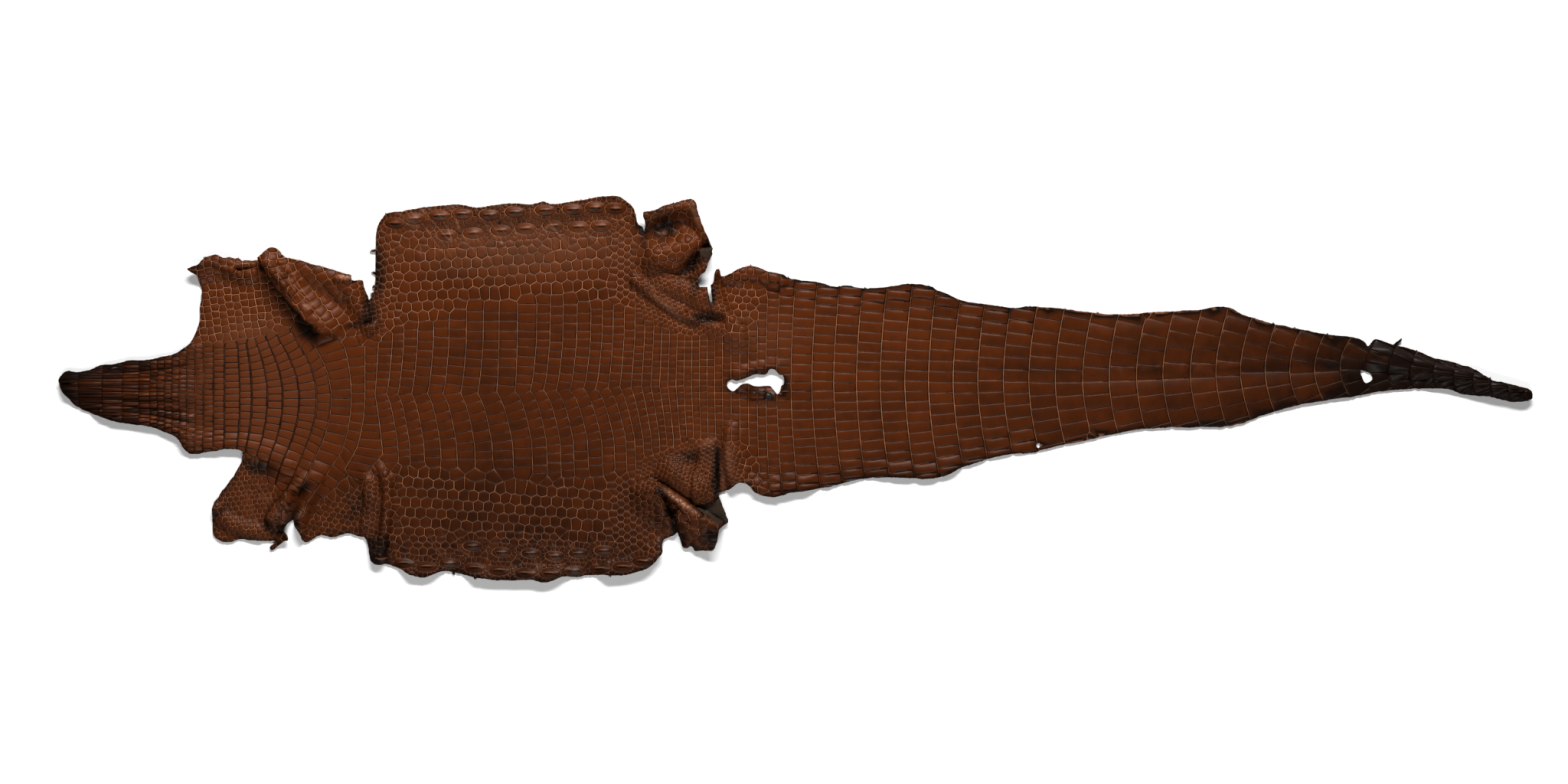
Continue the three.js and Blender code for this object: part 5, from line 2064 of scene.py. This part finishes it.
@dataclass(frozen=True)
class Studio:
    """The plain pale floor, the soft light and the camera straight above.

    Attributes:
        lamps: the lamps.
        glow: strength of the light from all round.
        floor_half: half the floor's width, in metres.
        floor_tone: how pale the floor is.
        floor_roughness: how matt it is.
        width: width of the floor that the picture shows.
        lens: the camera's focal length.
        sensor: its sensor's width.
        aim: the point that it looks at.
        gamma: how the picture's mid tones are held against its white.
    """

    lamps: tuple = (
        Lamp("key", (0.2, 2.6, 1.9), (2.4, 0.5), 185.0),
        Lamp("fill", (-0.2, -2.4, 2.2), (2.6, 0.9), 70.0),
    )
    glow: float = 0.08
    floor_half: float = 6.0
    floor_tone: float = 0.93
    floor_roughness: float = 0.9
    width: float = 1.720
    lens: float = 85.0
    sensor: float = 36.0
    aim: tuple = (-0.0129, -0.0031)
    gamma: float = 0.8

    def build(self) -> None:
        """Makes the floor, the lights and the camera."""
        self.floor()
        for lamp in self.lamps:
            lamp.build()
        world = bpy.data.worlds.new("studio")
        world.use_nodes = True
        background = world.node_tree.nodes["Background"]
        background.inputs["Color"].default_value = (1.0, 1.0, 1.0, 1.0)
        background.inputs["Strength"].default_value = self.glow
        bpy.context.scene.world = world
        bpy.context.scene.view_settings.view_transform = "Standard"
        bpy.context.scene.view_settings.gamma = self.gamma
        self.camera()

    def floor(self) -> None:
        """A wide pale floor."""
        half = self.floor_half
        corners = [(-half, -half, 0), (half, -half, 0), (half, half, 0), (-half, half, 0)]
        mesh = bpy.data.meshes.new("floor")
        mesh.from_pydata(corners, [], [(0, 1, 2, 3)])
        floor = linked("floor", mesh)
        material = bpy.data.materials.new("pale_floor")
        material.use_nodes = True
        shader = material.node_tree.nodes["Principled BSDF"]
        tone = self.floor_tone
        shader.inputs["Base Color"].default_value = (tone, tone, tone, 1.0)
        shader.inputs["Roughness"].default_value = self.floor_roughness
        mesh.materials.append(material)

    def camera(self) -> None:
        """The camera, straight above the skin."""
        data = bpy.data.cameras.new("camera")
        data.lens = self.lens
        data.sensor_width = self.sensor
        data.sensor_fit = "HORIZONTAL"
        camera = linked("camera", data)
        camera.location = (*self.aim, self.width * self.lens / self.sensor)
        bpy.context.scene.camera = camera


def main() -> None:
    """Builds the skin and its studio."""
    logging.basicConfig(level=logging.INFO, format="%(name)s: %(message)s")
    skin = Skin().build()
    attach(skin, "root")
    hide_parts(NODE)
    LOG.info("%s: %d faces", skin.name, len(skin.data.polygons))
    Studio().build()


if __name__ == "__main__":
    main()
